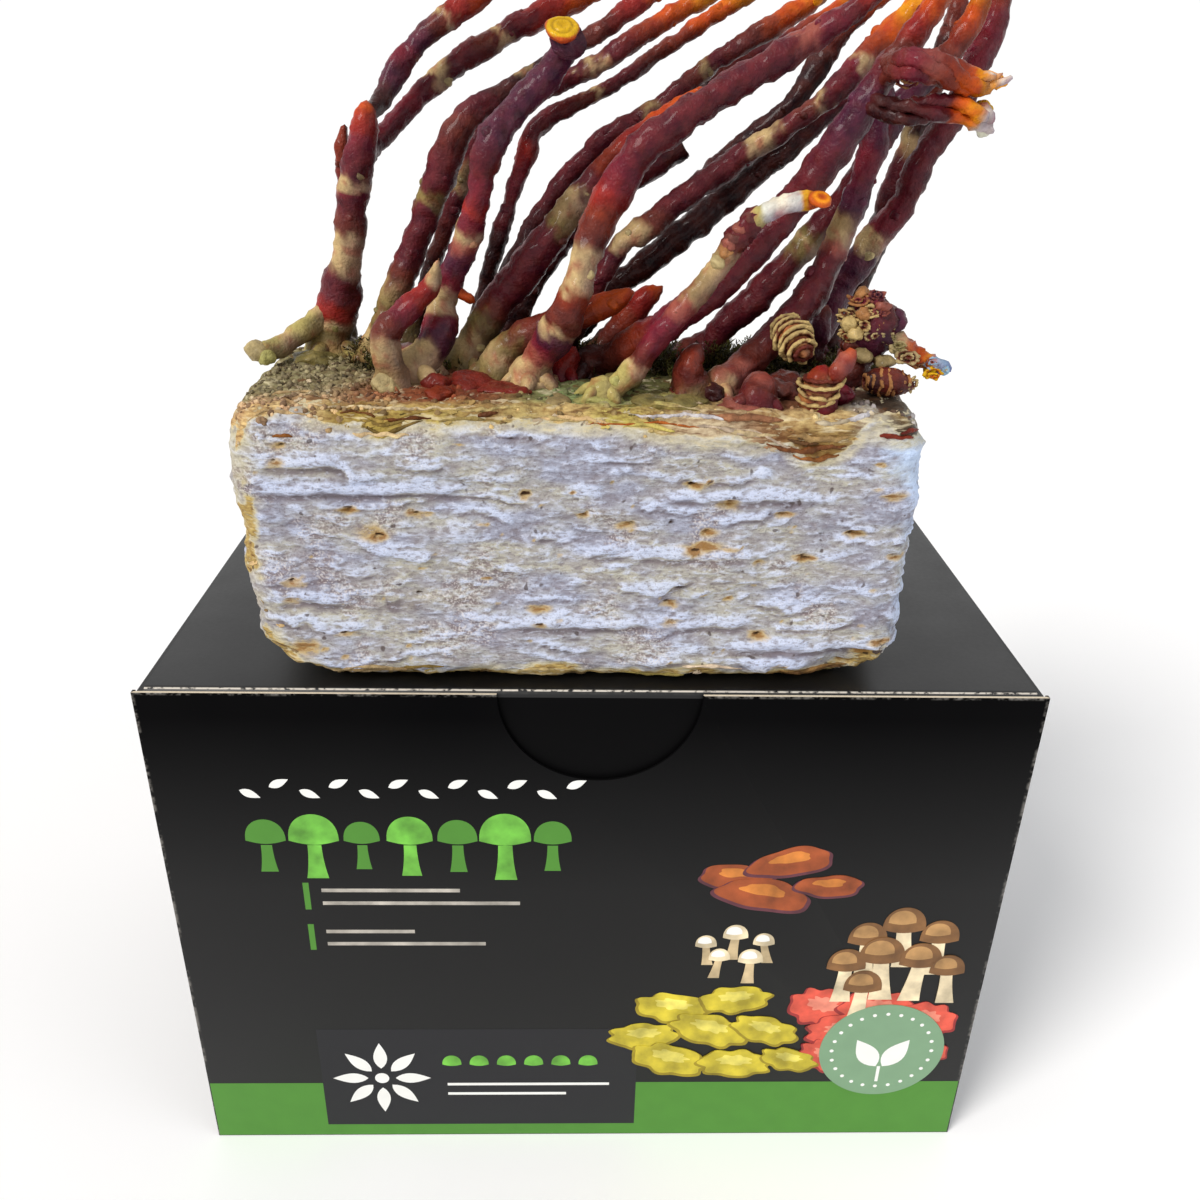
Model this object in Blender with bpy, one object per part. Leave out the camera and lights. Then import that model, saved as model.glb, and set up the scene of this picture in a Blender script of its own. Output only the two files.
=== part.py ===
"""A reishi grow kit: a fruited block of mycelium with a thicket of antler stems, standing on its folding carton.

The carton is 280 mm wide. Its base is centred on the origin, +X runs to the right and +Y to the back.
"""
import math

import bmesh
import bpy
from mathutils import Vector, noise

MM = 0.001
GAP = 0.3 * MM
FORK_GAP = 0.5 * MM
WELD = 0.001 * MM

# Carton, folded from one sheet of card
CARTON_WIDTH = 280 * MM
CARTON_DEPTH = 168 * MM
CARTON_HEIGHT = 197 * MM
CARD = 1.5 * MM
FRONT_STEP = 0.3 * MM
CREASE_BEVEL = 0.3 * CARD
TUCK_LENGTH = 55 * MM
TUCK_SIDE_ROOM = 3 * MM
DUST_FLAP_LENGTH = 82 * MM
DUST_FLAP_TAPER = 12 * MM
NOTCH_RADIUS = 31.5 * MM
NOTCH_CENTRE_X = 1.5 * MM
NOTCH_STEPS = 16
INNER_FLAP_SHARE = 0.72

# Block of mycelium on the lid
BLOCK_SIZE = Vector((194, 108, 84.7)) * MM
BLOCK_CENTRE_X = -6 * MM
BLOCK_FRONT_Y = -78 * MM
BLOCK_GRID = (26, 14, 12)
BLOCK_EDGE_RADIUS = 9 * MM
LOWER_LEFT_PULL = 18 * MM
LOWER_RIGHT_PULL = 11 * MM
SIDE_BULGE = 4 * MM
BACK_BULGE = 3 * MM
BACK_SLOPE = 6 * MM
BACK_SLOPE_FROM = 0.2
LUMP_HEIGHT = 2.4 * MM
LUMP_LENGTH = 40 * MM
LUMP_LAYER = 12 * MM
# Ridges of crust along the top's front edge: how far to the right each stands, its height and its reach, in mm
RIM_RIDGES = [(-62, 1.5, 20), (0, 1.2, 18), (44, 4.5, 15), (88, 7.0, 8)]
RIM_FRONT_SHARE = 0.85
RIM_TOP_SHARE = 0.88
RIM_BLEND = 0.1
DIMPLE_PLACE = Vector((83, -54, -36)) * MM
DIMPLE_REACH = 9 * MM
DIMPLE_DEPTH = 6 * MM
BLOCK_BOTTOM = CARTON_HEIGHT + GAP
BLOCK_TOP = BLOCK_BOTTOM + BLOCK_SIZE.z

# Antler stems: how finely a stem is followed, and how much its girth swells and shrinks on the way
STEM_STEP = 12.5 * MM
SWELL = 0.07
SWELL_LENGTH = 17 * MM
WILTED_SWELL = 0.18
SOLE_SHARE = 0.5
SOLE_STEP_SHARE = 0.8
THIN_STEM = 3.3 * MM
RING_COUNT = 5
RING_WAIST = 0.8

# Stems spread out to the front and back as they rise, and drift a little on the way
FAN_MIDDLE = -24 * MM
FAN_SHARE = 0.45
FAN_HEIGHT = 110 * MM
DRIFT = 7 * MM
DRIFT_LENGTH = 40 * MM
DRIFT_FROM = 30 * MM
OUTWARD_PER_METRE = 2.8

# Each route lists points of a stem's middle line, chosen by eye, as millimetres to the right, to the back
# and up from the block's top, with the stem's radius there.
STEMS = {
    "antler_left": [
        (-87, -10, 0, 6.0), (-85, -10, 10, 6.8), (-82, -11, 20, 6.5), (-79, -12, 31, 4.7), (-76, -12, 46, 4.8),
        (-73, -13, 59, 5.1), (-70, -14, 69, 3.8), (-69, -14, 75, 1.6)],
    "antler_left_back": [
        (-85, 4, 0, 3.0), (-82, 4, 21, 3.0), (-80, 4, 40, 2.8), (-81, 3, 55, 2.7), (-79, 2, 68, 1.6)],
    "antler_second": [
        (-70, -20, 0, 4.8), (-67, -20, 13, 4.6), (-59, -20, 29, 4.2), (-52, -20, 45, 4.5), (-46, -20, 60, 4.9),
        (-38, -20, 73, 3.8), (-22, -20, 82, 2.7), (-6, -19, 92, 2.6), (11, -17, 103, 2.8), (26, -15, 114, 1.5)],
    "antler_second_back": [
        (-64, 0, 0, 3.3), (-57, 0, 16, 3.0), (-51, 0, 34, 2.9), (-43, 0, 53, 3.3), (-36, 0, 70, 2.9),
        (-25, 0, 76, 2.6), (-3, 0, 85, 3.0), (14, 0, 96, 3.1), (31, 0, 106, 3.0), (40, 0, 112, 1.6)],
    "antler_capped": [
        (-56, -40, 0, 5.5), (-51, -39, 8, 5.1), (-48, -38, 13, 5.9), (-46, -37, 23, 4.2), (-40, -36, 38, 4.1),
        (-36, -36, 50, 3.7), (-31, -36, 67, 4.2), (-23, -36, 77, 3.9), (-16, -36, 83, 4.2), (-11, -38, 90, 3.6),
        (-10, -40, 92, 5.2)],
    "stub_pale_tip": [
        (-61, -50, 0, 3.8), (-62, -50, 10, 4.3), (-62, -49, 16, 4.0), (-55, -48, 22, 3.8), (-49, -46, 28, 2.8),
        (-46, -46, 37, 0.9)],
    "antler_thin": [
        (-42, 10, 0, 2.8), (-37, 10, 20, 2.4), (-31, 10, 38, 2.9), (-28, 10, 46, 2.3), (-24, 10, 57, 3.4),
        (-18, 10, 69, 3.0), (0, 10, 78, 2.3), (19, 10, 90, 2.5), (40, 10, 104, 2.6), (55, 10, 113, 1.4)],
    "antler_orange_tip": [
        (-41, -27, 0, 5.3), (-34, -27, 16, 5.3), (-26, -27, 26, 5.5), (-16, -27, 38, 5.0), (-8, -27, 49, 3.9),
        (3, -27, 62, 3.5), (17, -27, 73, 2.8), (29, -27, 81, 1.1)],
    "antler_dark_long": [
        (-39, 0, 0, 4.0), (-30, 0, 22, 3.6), (-14, 0, 48, 3.4), (2, 0, 65, 3.4), (16, 0, 73, 3.1),
        (35, 0, 88, 2.9), (58, 0, 102, 3.1), (78, 0, 116, 1.5)],
    "antler_cut": [
        (-30, -10, 0, 4.6), (-25, -10, 16, 4.4), (-13, -10, 35, 4.1), (-1, -10, 49, 4.3), (12, -10, 57, 4.9),
        (25, -10, 65, 4.9)],
    "antler_front": [
        (-20, -44, 0, 5.1), (-18, -45, 7, 5.1), (-14, -46, 14, 5.7), (-9, -46, 24, 5.0), (-5, -46, 36, 4.3),
        (1, -45, 51, 4.9), (10, -43, 65, 5.0), (22, -41, 74, 4.5), (42, -39, 86, 4.0), (63, -38, 98, 3.2),
        (81, -38, 113, 1.3)],
    "antler_banded": [
        (-14, -20, 0, 4.5), (-6, -20, 15, 4.0), (4, -20, 34, 3.4), (13, -20, 41, 3.7), (26, -20, 51, 3.9),
        (41, -20, 62, 3.4), (58, -20, 73, 3.2), (70, -20, 83, 3.6), (80, -20, 94, 4.0), (90, -20, 103, 4.2),
        (101, -20, 116, 1.7)],
    "antler_shadow": [
        (-11, -7, 0, 4.6), (-3, -7, 14, 4.2), (14, -7, 28, 4.3), (29, -7, 40, 4.7), (45, -7, 53, 4.2),
        (61, -7, 67, 3.7), (78, -7, 84, 3.5), (92, -7, 100, 3.5), (101, -7, 115, 1.6)],
    "stub_orange_left": [
        (-31, -35, 0, 4.5), (-28, -35, 8, 4.5), (-17, -35, 14, 4.6), (0, -35, 22, 4.0), (10, -35, 26, 1.5)],
    "stub_orange_right": [
        (0, -19, 0, 4.3), (5, -19, 9, 4.2), (13, -19, 19, 3.9), (20, -19, 25, 1.4)],
    "bud_red_middle": [
        (-11, -36, 0, 3.9), (-10, -36, 5, 4.2), (-7, -36, 9, 2.2)],
    "antler_pale_foot": [
        (1, -59, 0, 3.8), (6, -58, 4, 3.9), (16, -56, 17, 3.9), (26, -55, 29, 3.7), (34, -54, 39, 2.9),
        (39, -54, 47, 3.0), (44, -54, 52, 2.0)],
    "antler_broad": [
        (-2, -31, 0, 4.7), (5, -34, 6, 5.1), (18, -39, 16, 5.0), (35, -42, 30, 4.6), (49, -42, 46, 4.6),
        (60, -42, 60, 5.0), (69, -42, 75, 4.9), (76, -42, 87, 4.0), (85, -42, 99, 3.4), (93, -42, 115, 1.5)],
    "antler_right_inner": [
        (30, -18, 0, 4.5), (37, -18, 8, 4.6), (51, -18, 23, 4.6), (65, -18, 39, 4.2), (77, -18, 56, 3.9),
        (87, -18, 76, 3.8), (99, -18, 90, 3.6), (106, -18, 102, 3.4), (107, -18, 119, 1.6)],
    "antler_right_glossy": [
        (36, -51, 0, 4.0), (43, -46, 6, 4.5), (56, -37, 17, 5.0), (66, -31, 29, 4.7), (73, -29, 45, 4.0),
        (77, -29, 60, 4.1), (79, -29, 73, 3.4), (81, -29, 83, 1.6)],
    "antler_right_back": [
        (81, 6, 0, 4.1), (86, 6, 15, 4.1), (92, 6, 36, 4.0), (98, 6, 60, 4.0), (104, 6, 82, 3.8),
        (108, 6, 100, 3.6), (108, 6, 116, 1.7)],
    "antler_right_outer": [
        (69, -6, 0, 5.0), (76, -6, 13, 4.9), (83, -6, 30, 4.8), (94, -6, 45, 4.4), (100, -6, 61, 4.3),
        (110, -6, 80, 4.1), (115, -6, 96, 4.5), (116, -6, 109, 4.1), (115, -6, 120, 1.9)],
    "bud_brown_tall": [
        (27, -54, 0, 4.3), (26, -54, 7, 4.6), (29, -54, 15, 2.0)],
    "bud_brown_front": [
        (45, -65, 0, 4.0), (46, -64, 4, 4.6), (49, -63, 8, 2.8)],
    "ringed_stub_front": [
        (64, -66, 0, 4.4), (64, -66, 3, 5.8), (64, -66, 6, 5.8), (64, -66, 9, 4.9), (64, -66, 11, 3.0)],
    "stub_crusted": [
        (77, -41, 0, 3.4), (77, -41, 8, 3.6), (79, -42, 14, 5.4), (82, -43, 20, 6.6), (85, -44, 25, 3.6)],
    "ringed_cone": [
        (78, -54, 4.6, 2.6), (82, -54, 4.6, 3.9), (87, -54, 4.4, 3.8), (92, -54, 3.8, 1.8)],
    "bud_purple": [
        (68, -21, 0, 3.4), (70, -21, 12, 3.5), (72, -21, 20, 1.7)],
}

# Forks and side shoots: the stem that each one leaves, and its route, which starts inside that stem
FORKS = {
    "shoot_left_pale": ("antler_left", [
        (-88, -13, 6, 4.4), (-96, -19, 5.6, 4.5), (-102, -24, 5.2, 4.3), (-106, -27, 4.4, 2.6)]),
    "fork_left_upper": ("antler_left", [
        (-70, -12, 67, 2.8), (-66, -7, 75, 2.8), (-59, -5, 86, 3.9), (-55, -5, 90, 2.9), (-46, -5, 98, 3.6),
        (-28, -3, 109, 3.0), (-20, -2, 115, 1.5)]),
    "fork_left_lower": ("antler_left", [
        (-74, -11, 55, 3.2), (-67, 1, 66, 3.5), (-50, 6, 81, 3.5), (-40, 6, 88, 3.9), (-31, 6, 93, 3.4),
        (-20, 6, 99, 4.0), (-2, 6, 107, 3.6), (15, 6, 119, 1.6)]),
    "bud_red_left": ("antler_capped", [
        (-48, -38, 13, 3.0), (-42, -38, 17, 3.3), (-37, -38, 22, 1.4)]),
    "fork_dark_long": ("antler_dark_long", [
        (24, 0, 79, 2.4), (32, 7, 82, 2.7), (41, 10, 86, 2.8), (65, 10, 98, 2.9), (89, 10, 117, 1.5)]),
    "fork_banded": ("antler_banded", [
        (30, -19, 54, 2.4), (37, -13, 61, 2.7), (50, -12, 71, 2.8), (61, -11, 81, 3.0), (66, -10, 92, 3.3),
        (75, -9, 101, 3.1), (88, -8, 112, 1.6)]),
    "shoot_white_tip": ("antler_pale_foot", [
        (43, -54, 51, 1.7), (47, -56, 53, 2.5), (56, -56, 55, 2.5), (58, -57, 55, 2.9)]),
    "wilted_upper": ("antler_broad", [
        (75, -43, 86, 2.7), (78, -51, 88, 3.1), (87, -53, 87, 3.2), (97, -53, 84, 2.5), (106, -53, 86, 1.4)]),
    "wilted_lower": ("antler_broad", [
        (72, -43, 76, 2.4), (79, -52, 77, 2.6), (92, -53, 78, 2.6), (100, -53, 76, 2.8), (104, -53, 73, 1.7)]),
    "ringed_stub_pale": ("antler_right_glossy", [
        (56, -38, 21, 3.2), (57, -46, 19, 5.4), (58, -51, 16, 5.4), (59, -55, 14, 4.5), (60, -58, 11, 3.1)]),
    "horn_orange": ("ringed_stub_front", [
        (65, -65, 7, 2.0), (69, -62, 13, 2.2), (72, -60, 17, 1.2)]),
    "shoot_blue_tip": ("stub_crusted", [
        (84, -43, 19, 2.2), (89, -45, 14, 3.4), (95, -47, 10, 2.9), (104, -48, 7, 1.5)]),
}


def clear_scene():
    for found in list(bpy.data.objects):
        bpy.data.objects.remove(found, do_unlink=True)


def new_collection(name):
    made = bpy.data.collections.new(name)
    bpy.context.scene.collection.children.link(made)
    return made


def new_material(name, colour, roughness):
    made = bpy.data.materials.new(name)
    made.use_nodes = True
    shader = made.node_tree.nodes["Principled BSDF"]
    shader.inputs["Base Color"].default_value = (*colour, 1.0)
    shader.inputs["Roughness"].default_value = roughness
    shader.inputs["Metallic"].default_value = 0.0
    return made


def new_object(name, data, collection, material):
    made = bpy.data.objects.new(name, data)
    data.materials.append(material)
    collection.objects.link(made)
    return made


def box_panel(name, low, high, collection, material):
    """A rectangle of card between two corners."""
    low, high = Vector(low), Vector(high)
    shape = bmesh.new()
    bmesh.ops.create_cube(shape, size=1.0)
    bmesh.ops.scale(shape, vec=high - low, verts=shape.verts)
    mesh = bpy.data.meshes.new(name)
    shape.to_mesh(mesh)
    shape.free()
    made = new_object(name, mesh, collection, material)
    made.location = (low + high) / 2
    return made


def flat_outline(name, outline, thickness, collection, material):
    """A flat piece of card: its outline in its own XY plane, half its thickness to each side."""
    curve = bpy.data.curves.new(name, "CURVE")
    curve.dimensions = "2D"
    curve.fill_mode = "BOTH"
    curve.extrude = thickness / 2
    spline = curve.splines.new("POLY")
    spline.points.add(len(outline) - 1)
    for point, (x, y) in zip(spline.points, outline):
        point.co = (x, y, 0.0, 1.0)
    spline.use_cyclic_u = True
    return new_object(name, curve, collection, material)


def stand_facing_front(panel, y_middle):
    """Turns a flat outline upright, so that its own Y becomes height."""
    panel.rotation_euler = (math.pi / 2, 0.0, 0.0)
    panel.location = (0.0, y_middle, 0.0)


def make_walls(collection, material):
    half_width, half_depth = CARTON_WIDTH / 2, CARTON_DEPTH / 2
    front_top = CARTON_HEIGHT - FRONT_STEP
    outline = [(-half_width, 0.0), (half_width, 0.0), (half_width, front_top)]
    for step in range(NOTCH_STEPS + 1):
        turn = math.pi * step / NOTCH_STEPS
        x = NOTCH_CENTRE_X + NOTCH_RADIUS * math.cos(turn)
        outline.append((x, front_top - NOTCH_RADIUS * math.sin(turn)))
    outline.append((-half_width, front_top))
    front = flat_outline("front_wall", outline, CARD, collection, material)
    stand_facing_front(front, -half_depth + CARD / 2)

    back_top = CARTON_HEIGHT - CARD - GAP
    box_panel("back_wall", (-half_width, half_depth - CARD, 0.0), (half_width, half_depth, back_top),
              collection, material)
    side_top = back_top - CARD - GAP
    side_reach = half_depth - CARD - GAP
    for name, outer in (("left_wall", -half_width), ("right_wall", half_width)):
        inner = outer - math.copysign(CARD, outer)
        box_panel(name, (min(outer, inner), -side_reach, 0.0), (max(outer, inner), side_reach, side_top),
                  collection, material)


def make_lid(collection, material):
    """The lid panel and the tuck flap that goes down behind the front wall, in one bent sheet."""
    half_depth = CARTON_DEPTH / 2
    front = -half_depth + CARD + GAP
    top, under = CARTON_HEIGHT, CARTON_HEIGHT - CARD
    tuck_end = top - TUCK_LENGTH
    outline = [(half_depth, top), (front + CARD, top), (front + CREASE_BEVEL, top - CREASE_BEVEL),
               (front, top - CARD), (front, tuck_end), (front + CARD, tuck_end), (front + CARD, under),
               (half_depth, under)]
    lid = flat_outline("lid", outline, CARTON_WIDTH - 2 * TUCK_SIDE_ROOM, collection, material)
    lid.rotation_euler = (math.pi / 2, 0.0, math.pi / 2)


def make_dust_flaps(name_start, level, collection, material):
    """Two flaps that fold in from the side walls, each with slanted sides."""
    reach = CARTON_DEPTH / 2 - 2 * CARD - 3 * GAP
    hinge = CARTON_WIDTH / 2 - CARD - GAP if level < CARTON_HEIGHT / 2 else CARTON_WIDTH / 2
    for side, facing in (("left", -1), ("right", 1)):
        end = facing * (hinge - DUST_FLAP_LENGTH)
        outline = [(facing * hinge, -reach), (facing * hinge, reach),
                   (end, reach - DUST_FLAP_TAPER), (end, -reach + DUST_FLAP_TAPER)]
        flap = flat_outline(f"{name_start}_{side}", outline, CARD, collection, material)
        flap.location.z = level + CARD / 2


def make_bottom(collection, material):
    inside_x = CARTON_WIDTH / 2 - CARD - GAP
    inside_y = CARTON_DEPTH / 2 - CARD - GAP
    box_panel("bottom_outer_flap", (-inside_x, -inside_y, 0.0), (inside_x, inside_y, CARD),
              collection, material)
    second = CARD + GAP
    inner_end = -inside_y + 2 * inside_y * INNER_FLAP_SHARE
    box_panel("bottom_inner_flap", (-inside_x, -inside_y, second), (inside_x, inner_end, second + CARD),
              collection, material)
    make_dust_flaps("bottom_dust_flap", 2 * second, collection, material)


def smooth_step(value):
    value = min(max(value, 0.0), 1.0)
    return value * value * (3.0 - 2.0 * value)


def block_point(flat):
    """Where a point of the plain box goes: rounded edges, bulging sides, a dropping back and low lumps."""
    half = BLOCK_SIZE / 2
    core = Vector([min(max(c, BLOCK_EDGE_RADIUS - h), h - BLOCK_EDGE_RADIUS) for c, h in zip(flat, half)])
    out = flat - core
    point = core + out.normalized() * BLOCK_EDGE_RADIUS if out.length > BLOCK_EDGE_RADIUS else flat.copy()

    pull = LOWER_LEFT_PULL if point.x < 0 else LOWER_RIGHT_PULL
    sunk = smooth_step((-point.z - (half.z - pull)) / pull)
    side = point.x / half.x
    along = point.y / half.y
    height = (point.z + half.z) / BLOCK_SIZE.z
    point.x *= 1.0 - sunk * sunk * pull / half.x
    point.x += SIDE_BULGE * side * (1.0 - along * along)
    point.y += BACK_BULGE * max(along, 0.0) * (1.0 - side * side)
    point.z -= BACK_SLOPE * smooth_step((along - BACK_SLOPE_FROM) / (1.0 - BACK_SLOPE_FROM)) * height

    seed = Vector((point.x / LUMP_LENGTH, point.y / LUMP_LENGTH, point.z / LUMP_LAYER))
    lump = LUMP_HEIGHT * noise.noise(seed)
    on_top = flat.z > half.z - BLOCK_EDGE_RADIUS / 2
    on_bottom = flat.z < BLOCK_EDGE_RADIUS / 2 - half.z
    if not on_top and not on_bottom:
        outward = Vector((side * abs(side) ** 3, along * abs(along) ** 3, 0.0))
        point += outward * lump
    front_edge = smooth_step((-RIM_FRONT_SHARE - along) / RIM_BLEND)
    front_edge *= smooth_step((height - RIM_TOP_SHARE) / RIM_BLEND)
    for right, rise, reach in RIM_RIDGES:
        from_ridge = (point.x - right * MM) / (reach * MM)
        point.z += front_edge * rise * MM * math.exp(-from_ridge * from_ridge)
    from_dimple = (point - DIMPLE_PLACE).length / DIMPLE_REACH
    point.y += DIMPLE_DEPTH * math.exp(-from_dimple * from_dimple)
    return point


def make_block(collection, material):
    shape = bmesh.new()
    bmesh.ops.create_cube(shape, size=1.0)
    for axis, cuts in enumerate(BLOCK_GRID):
        edges = [e for e in shape.edges if abs(e.verts[0].co[axis] - e.verts[1].co[axis]) > GAP]
        bmesh.ops.subdivide_edges(shape, edges=edges, cuts=cuts - 1, use_grid_fill=True)
    for vert in shape.verts:
        vert.co = block_point(Vector([c * s for c, s in zip(vert.co, BLOCK_SIZE)]))
    mesh = bpy.data.meshes.new("mycelium_block")
    shape.to_mesh(mesh)
    shape.free()
    mesh.shade_smooth()
    made = new_object("mycelium_block", mesh, collection, material)
    made.location = (BLOCK_CENTRE_X, BLOCK_FRONT_Y + BLOCK_SIZE.y / 2, BLOCK_BOTTOM + BLOCK_SIZE.z / 2)


def through_points(points, share):
    """A point on the smooth line through four-number points, at a share from 0 to 1 of its spans."""
    spans = len(points) - 1
    span = min(int(share * spans), spans - 1)
    t = share * spans - span
    before = points[max(span - 1, 0)]
    start, end = points[span], points[span + 1]
    after = points[min(span + 2, spans)]
    return (start * 2 + (end - before) * t + (before * 2 - start * 5 + end * 4 - after) * t * t
            + (start * 3 - before - end * 3 + after) * t * t * t) / 2


def fan_out(place):
    """Moves a point of a stem to the front or back as it rises, with a slow drift that neighbours share."""
    lean = FAN_SHARE * (place.y - FAN_MIDDLE) * place.z / FAN_HEIGHT
    risen = min(place.z / DRIFT_FROM, 1.0)
    lean += risen * DRIFT * noise.noise(place / DRIFT_LENGTH)
    return place + Vector((OUTWARD_PER_METRE * place.x * lean, lean, 0.0))


def stem_line(name):
    """The points of a stem's middle line, each with the radius there, all in metres."""
    route = STEMS[name] if name in STEMS else FORKS[name][1]
    points = [Vector(p) * MM for p in route]
    length = sum((b.xyz - a.xyz).length for a, b in zip(points, points[1:]))
    count = max(len(route), round(length / STEM_STEP) + 1)
    if "ringed" in name:
        count = 2 * RING_COUNT
    share = WILTED_SWELL if "wilted" in name or "crusted" in name else SWELL
    line = []
    for index in range(count):
        here = through_points(points, index / (count - 1))
        girth = here.w * (1.0 + share * noise.noise(here.xyz / SWELL_LENGTH))
        if "ringed" in name and index % 2 == 1:
            girth *= RING_WAIST
        place = fan_out(here.xyz)
        line.append(Vector((place.x, place.y, BLOCK_TOP + GAP + place.z, girth)))
    stands_on_block = name in STEMS and route[0][2] == 0
    if stands_on_block:
        sole = line[0].copy()
        sole.z += min(SOLE_SHARE * sole.w, SOLE_STEP_SHARE * (line[1].z - sole.z))
        line.insert(1, sole)
    return line


def make_tube(name, line, extra, collection, material):
    curve = bpy.data.curves.new(name, "CURVE")
    curve.dimensions = "3D"
    curve.bevel_depth = MM
    widest = max(point.w for point in line)
    curve.bevel_resolution = 1 if widest < THIN_STEM else 2
    curve.use_fill_caps = True
    spline = curve.splines.new("POLY")
    spline.points.add(len(line) - 1)
    for point, place in zip(spline.points, line):
        point.co = (*place.xyz, 1.0)
        point.radius = (place.w + extra) / MM
    spline.use_smooth = True
    return new_object(name, curve, collection, material)


def tube_as_mesh(tube, collection):
    """Turns a tube into a closed mesh of the same name, with its caps joined on."""
    bpy.context.view_layer.update()
    mesh = bpy.data.meshes.new_from_object(tube.evaluated_get(bpy.context.evaluated_depsgraph_get()))
    shape = bmesh.new()
    shape.from_mesh(mesh)
    bmesh.ops.remove_doubles(shape, verts=shape.verts, dist=WELD)
    shape.to_mesh(mesh)
    shape.free()
    place, name = tube.matrix_world.copy(), tube.name
    bpy.data.objects.remove(tube, do_unlink=True)
    made = bpy.data.objects.new(name, mesh)
    made.matrix_world = place
    collection.objects.link(made)
    return made


def make_fork(name, collection, cutters, material):
    """A fork: its tube starts inside the parent stem, and a slightly fatter copy of that stem cuts it free."""
    tube = make_tube(name, stem_line(name), 0.0, collection, material)
    fork = tube_as_mesh(tube, collection)
    cutter_name = f"cutter_{name}"
    parent = FORKS[name][0]
    cutter = make_tube(cutter_name, stem_line(parent), FORK_GAP, cutters, material)
    cutter = tube_as_mesh(cutter, cutters)
    cutter.hide_render = True
    cutter.display_type = "WIRE"
    cut = fork.modifiers.new("parted from its stem", "BOOLEAN")
    cut.operation = "DIFFERENCE"
    cut.solver = "EXACT"
    cut.object = cutter


def stem_material(name, materials):
    for start, material in materials.items():
        if start in name:
            return material
    return materials["antler"]


def main():
    clear_scene()
    kit = new_collection("reishi_grow_kit")
    cutters = new_collection("cutters")
    card = new_material("black_card", (0.018, 0.018, 0.019), 0.38)
    skin = new_material("mycelium_skin", (0.56, 0.54, 0.58), 0.85)
    stems = {
        "ringed": new_material("dried_cream", (0.55, 0.36, 0.16), 0.6),
        "crusted": new_material("dried_crust", (0.34, 0.19, 0.12), 0.75),
        "orange": new_material("growing_orange", (0.55, 0.14, 0.03), 0.35),
        "red": new_material("young_red", (0.36, 0.05, 0.03), 0.35),
        "brown": new_material("young_brown", (0.22, 0.11, 0.06), 0.45),
        "pale": new_material("pale_shoot", (0.52, 0.44, 0.2), 0.5),
        "white": new_material("white_tip", (0.7, 0.7, 0.62), 0.5),
        "antler": new_material("lacquered_maroon", (0.13, 0.025, 0.03), 0.3),
    }

    make_walls(kit, card)
    make_lid(kit, card)
    make_dust_flaps("lid_dust_flap", CARTON_HEIGHT - 2 * (CARD + GAP), kit, card)
    make_bottom(kit, card)
    make_block(kit, skin)
    for name in STEMS:
        make_tube(name, stem_line(name), 0.0, kit, stem_material(name, stems))
    for name in FORKS:
        make_fork(name, kit, cutters, stem_material(name, stems))
    bpy.context.view_layer.update()


main()
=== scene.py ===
# %% [markdown]
# # A reishi grow kit: lacquered antlers on a white block, on a black carton
#
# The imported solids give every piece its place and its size. This lesson dresses them. It goes from the
# ground up: the camera and the light, the carton with its print, the block of mycelium, the antler stems,
# and last the crust, the moss and the small growths between them.

# %% Load the solids
import math
import random

import bmesh
import bpy
import numpy as np
from mathutils import Matrix, Vector, noise
from mathutils.bvhtree import BVHTree


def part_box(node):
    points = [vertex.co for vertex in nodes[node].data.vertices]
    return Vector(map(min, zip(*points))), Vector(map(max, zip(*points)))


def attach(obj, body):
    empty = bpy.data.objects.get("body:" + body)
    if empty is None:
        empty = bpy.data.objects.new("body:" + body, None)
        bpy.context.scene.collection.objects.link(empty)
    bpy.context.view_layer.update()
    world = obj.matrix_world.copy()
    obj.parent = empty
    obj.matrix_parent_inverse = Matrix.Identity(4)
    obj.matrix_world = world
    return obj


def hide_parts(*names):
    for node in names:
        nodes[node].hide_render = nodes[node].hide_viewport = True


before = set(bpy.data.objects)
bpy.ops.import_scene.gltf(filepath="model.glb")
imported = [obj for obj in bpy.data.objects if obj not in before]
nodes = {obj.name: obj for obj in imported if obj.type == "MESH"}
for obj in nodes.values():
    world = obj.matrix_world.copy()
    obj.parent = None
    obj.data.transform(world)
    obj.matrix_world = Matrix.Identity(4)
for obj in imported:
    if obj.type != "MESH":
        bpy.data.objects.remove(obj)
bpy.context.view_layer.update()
MM = 0.001
noise.seed_set(7)  # vector noise takes its start from the clock otherwise

# %% [markdown]
# ## The camera
#
# The photograph was taken from a little above, close by and with a wide lens: the carton's lower corners
# draw together. A camera's place can be guessed and nudged, or solved from edges whose size is known. The
# carton's straight edges were used here, so that one lens, one place and one small roll fit all of them.

# %% Camera
CAMERA_PLACE = Vector((-7.7, -367.5, 369.7)) * MM
CAMERA_LENS = 32.65
CAMERA_PITCH = math.radians(26.37)
CAMERA_YAW = math.radians(-1.70)
CAMERA_ROLL = math.radians(1.25)


def nothing_selected():
    """Every step by hand starts with nothing selected."""
    if bpy.context.object and bpy.context.object.mode != "OBJECT":
        bpy.ops.object.mode_set(mode="OBJECT")
    bpy.ops.object.select_all(action="DESELECT")


def pick(piece, *others):
    """Selects these objects alone, the first of them as the active one."""
    nothing_selected()
    for chosen in (*others, piece):
        chosen.select_set(True)
    bpy.context.view_layer.objects.active = piece


nothing_selected()
look = Matrix.Rotation(CAMERA_YAW, 3, "Z") @ Matrix.Rotation(math.pi / 2 - CAMERA_PITCH, 3, "X")
look = look @ Matrix.Rotation(CAMERA_ROLL, 3, "Z")
bpy.ops.object.camera_add(location=CAMERA_PLACE, rotation=look.to_euler())
camera = bpy.context.object
camera.data.lens = CAMERA_LENS
camera.data.clip_start = 0.01
bpy.context.scene.camera = camera
print("camera at", [round(c, 3) for c in camera.location], "lens", CAMERA_LENS)

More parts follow.
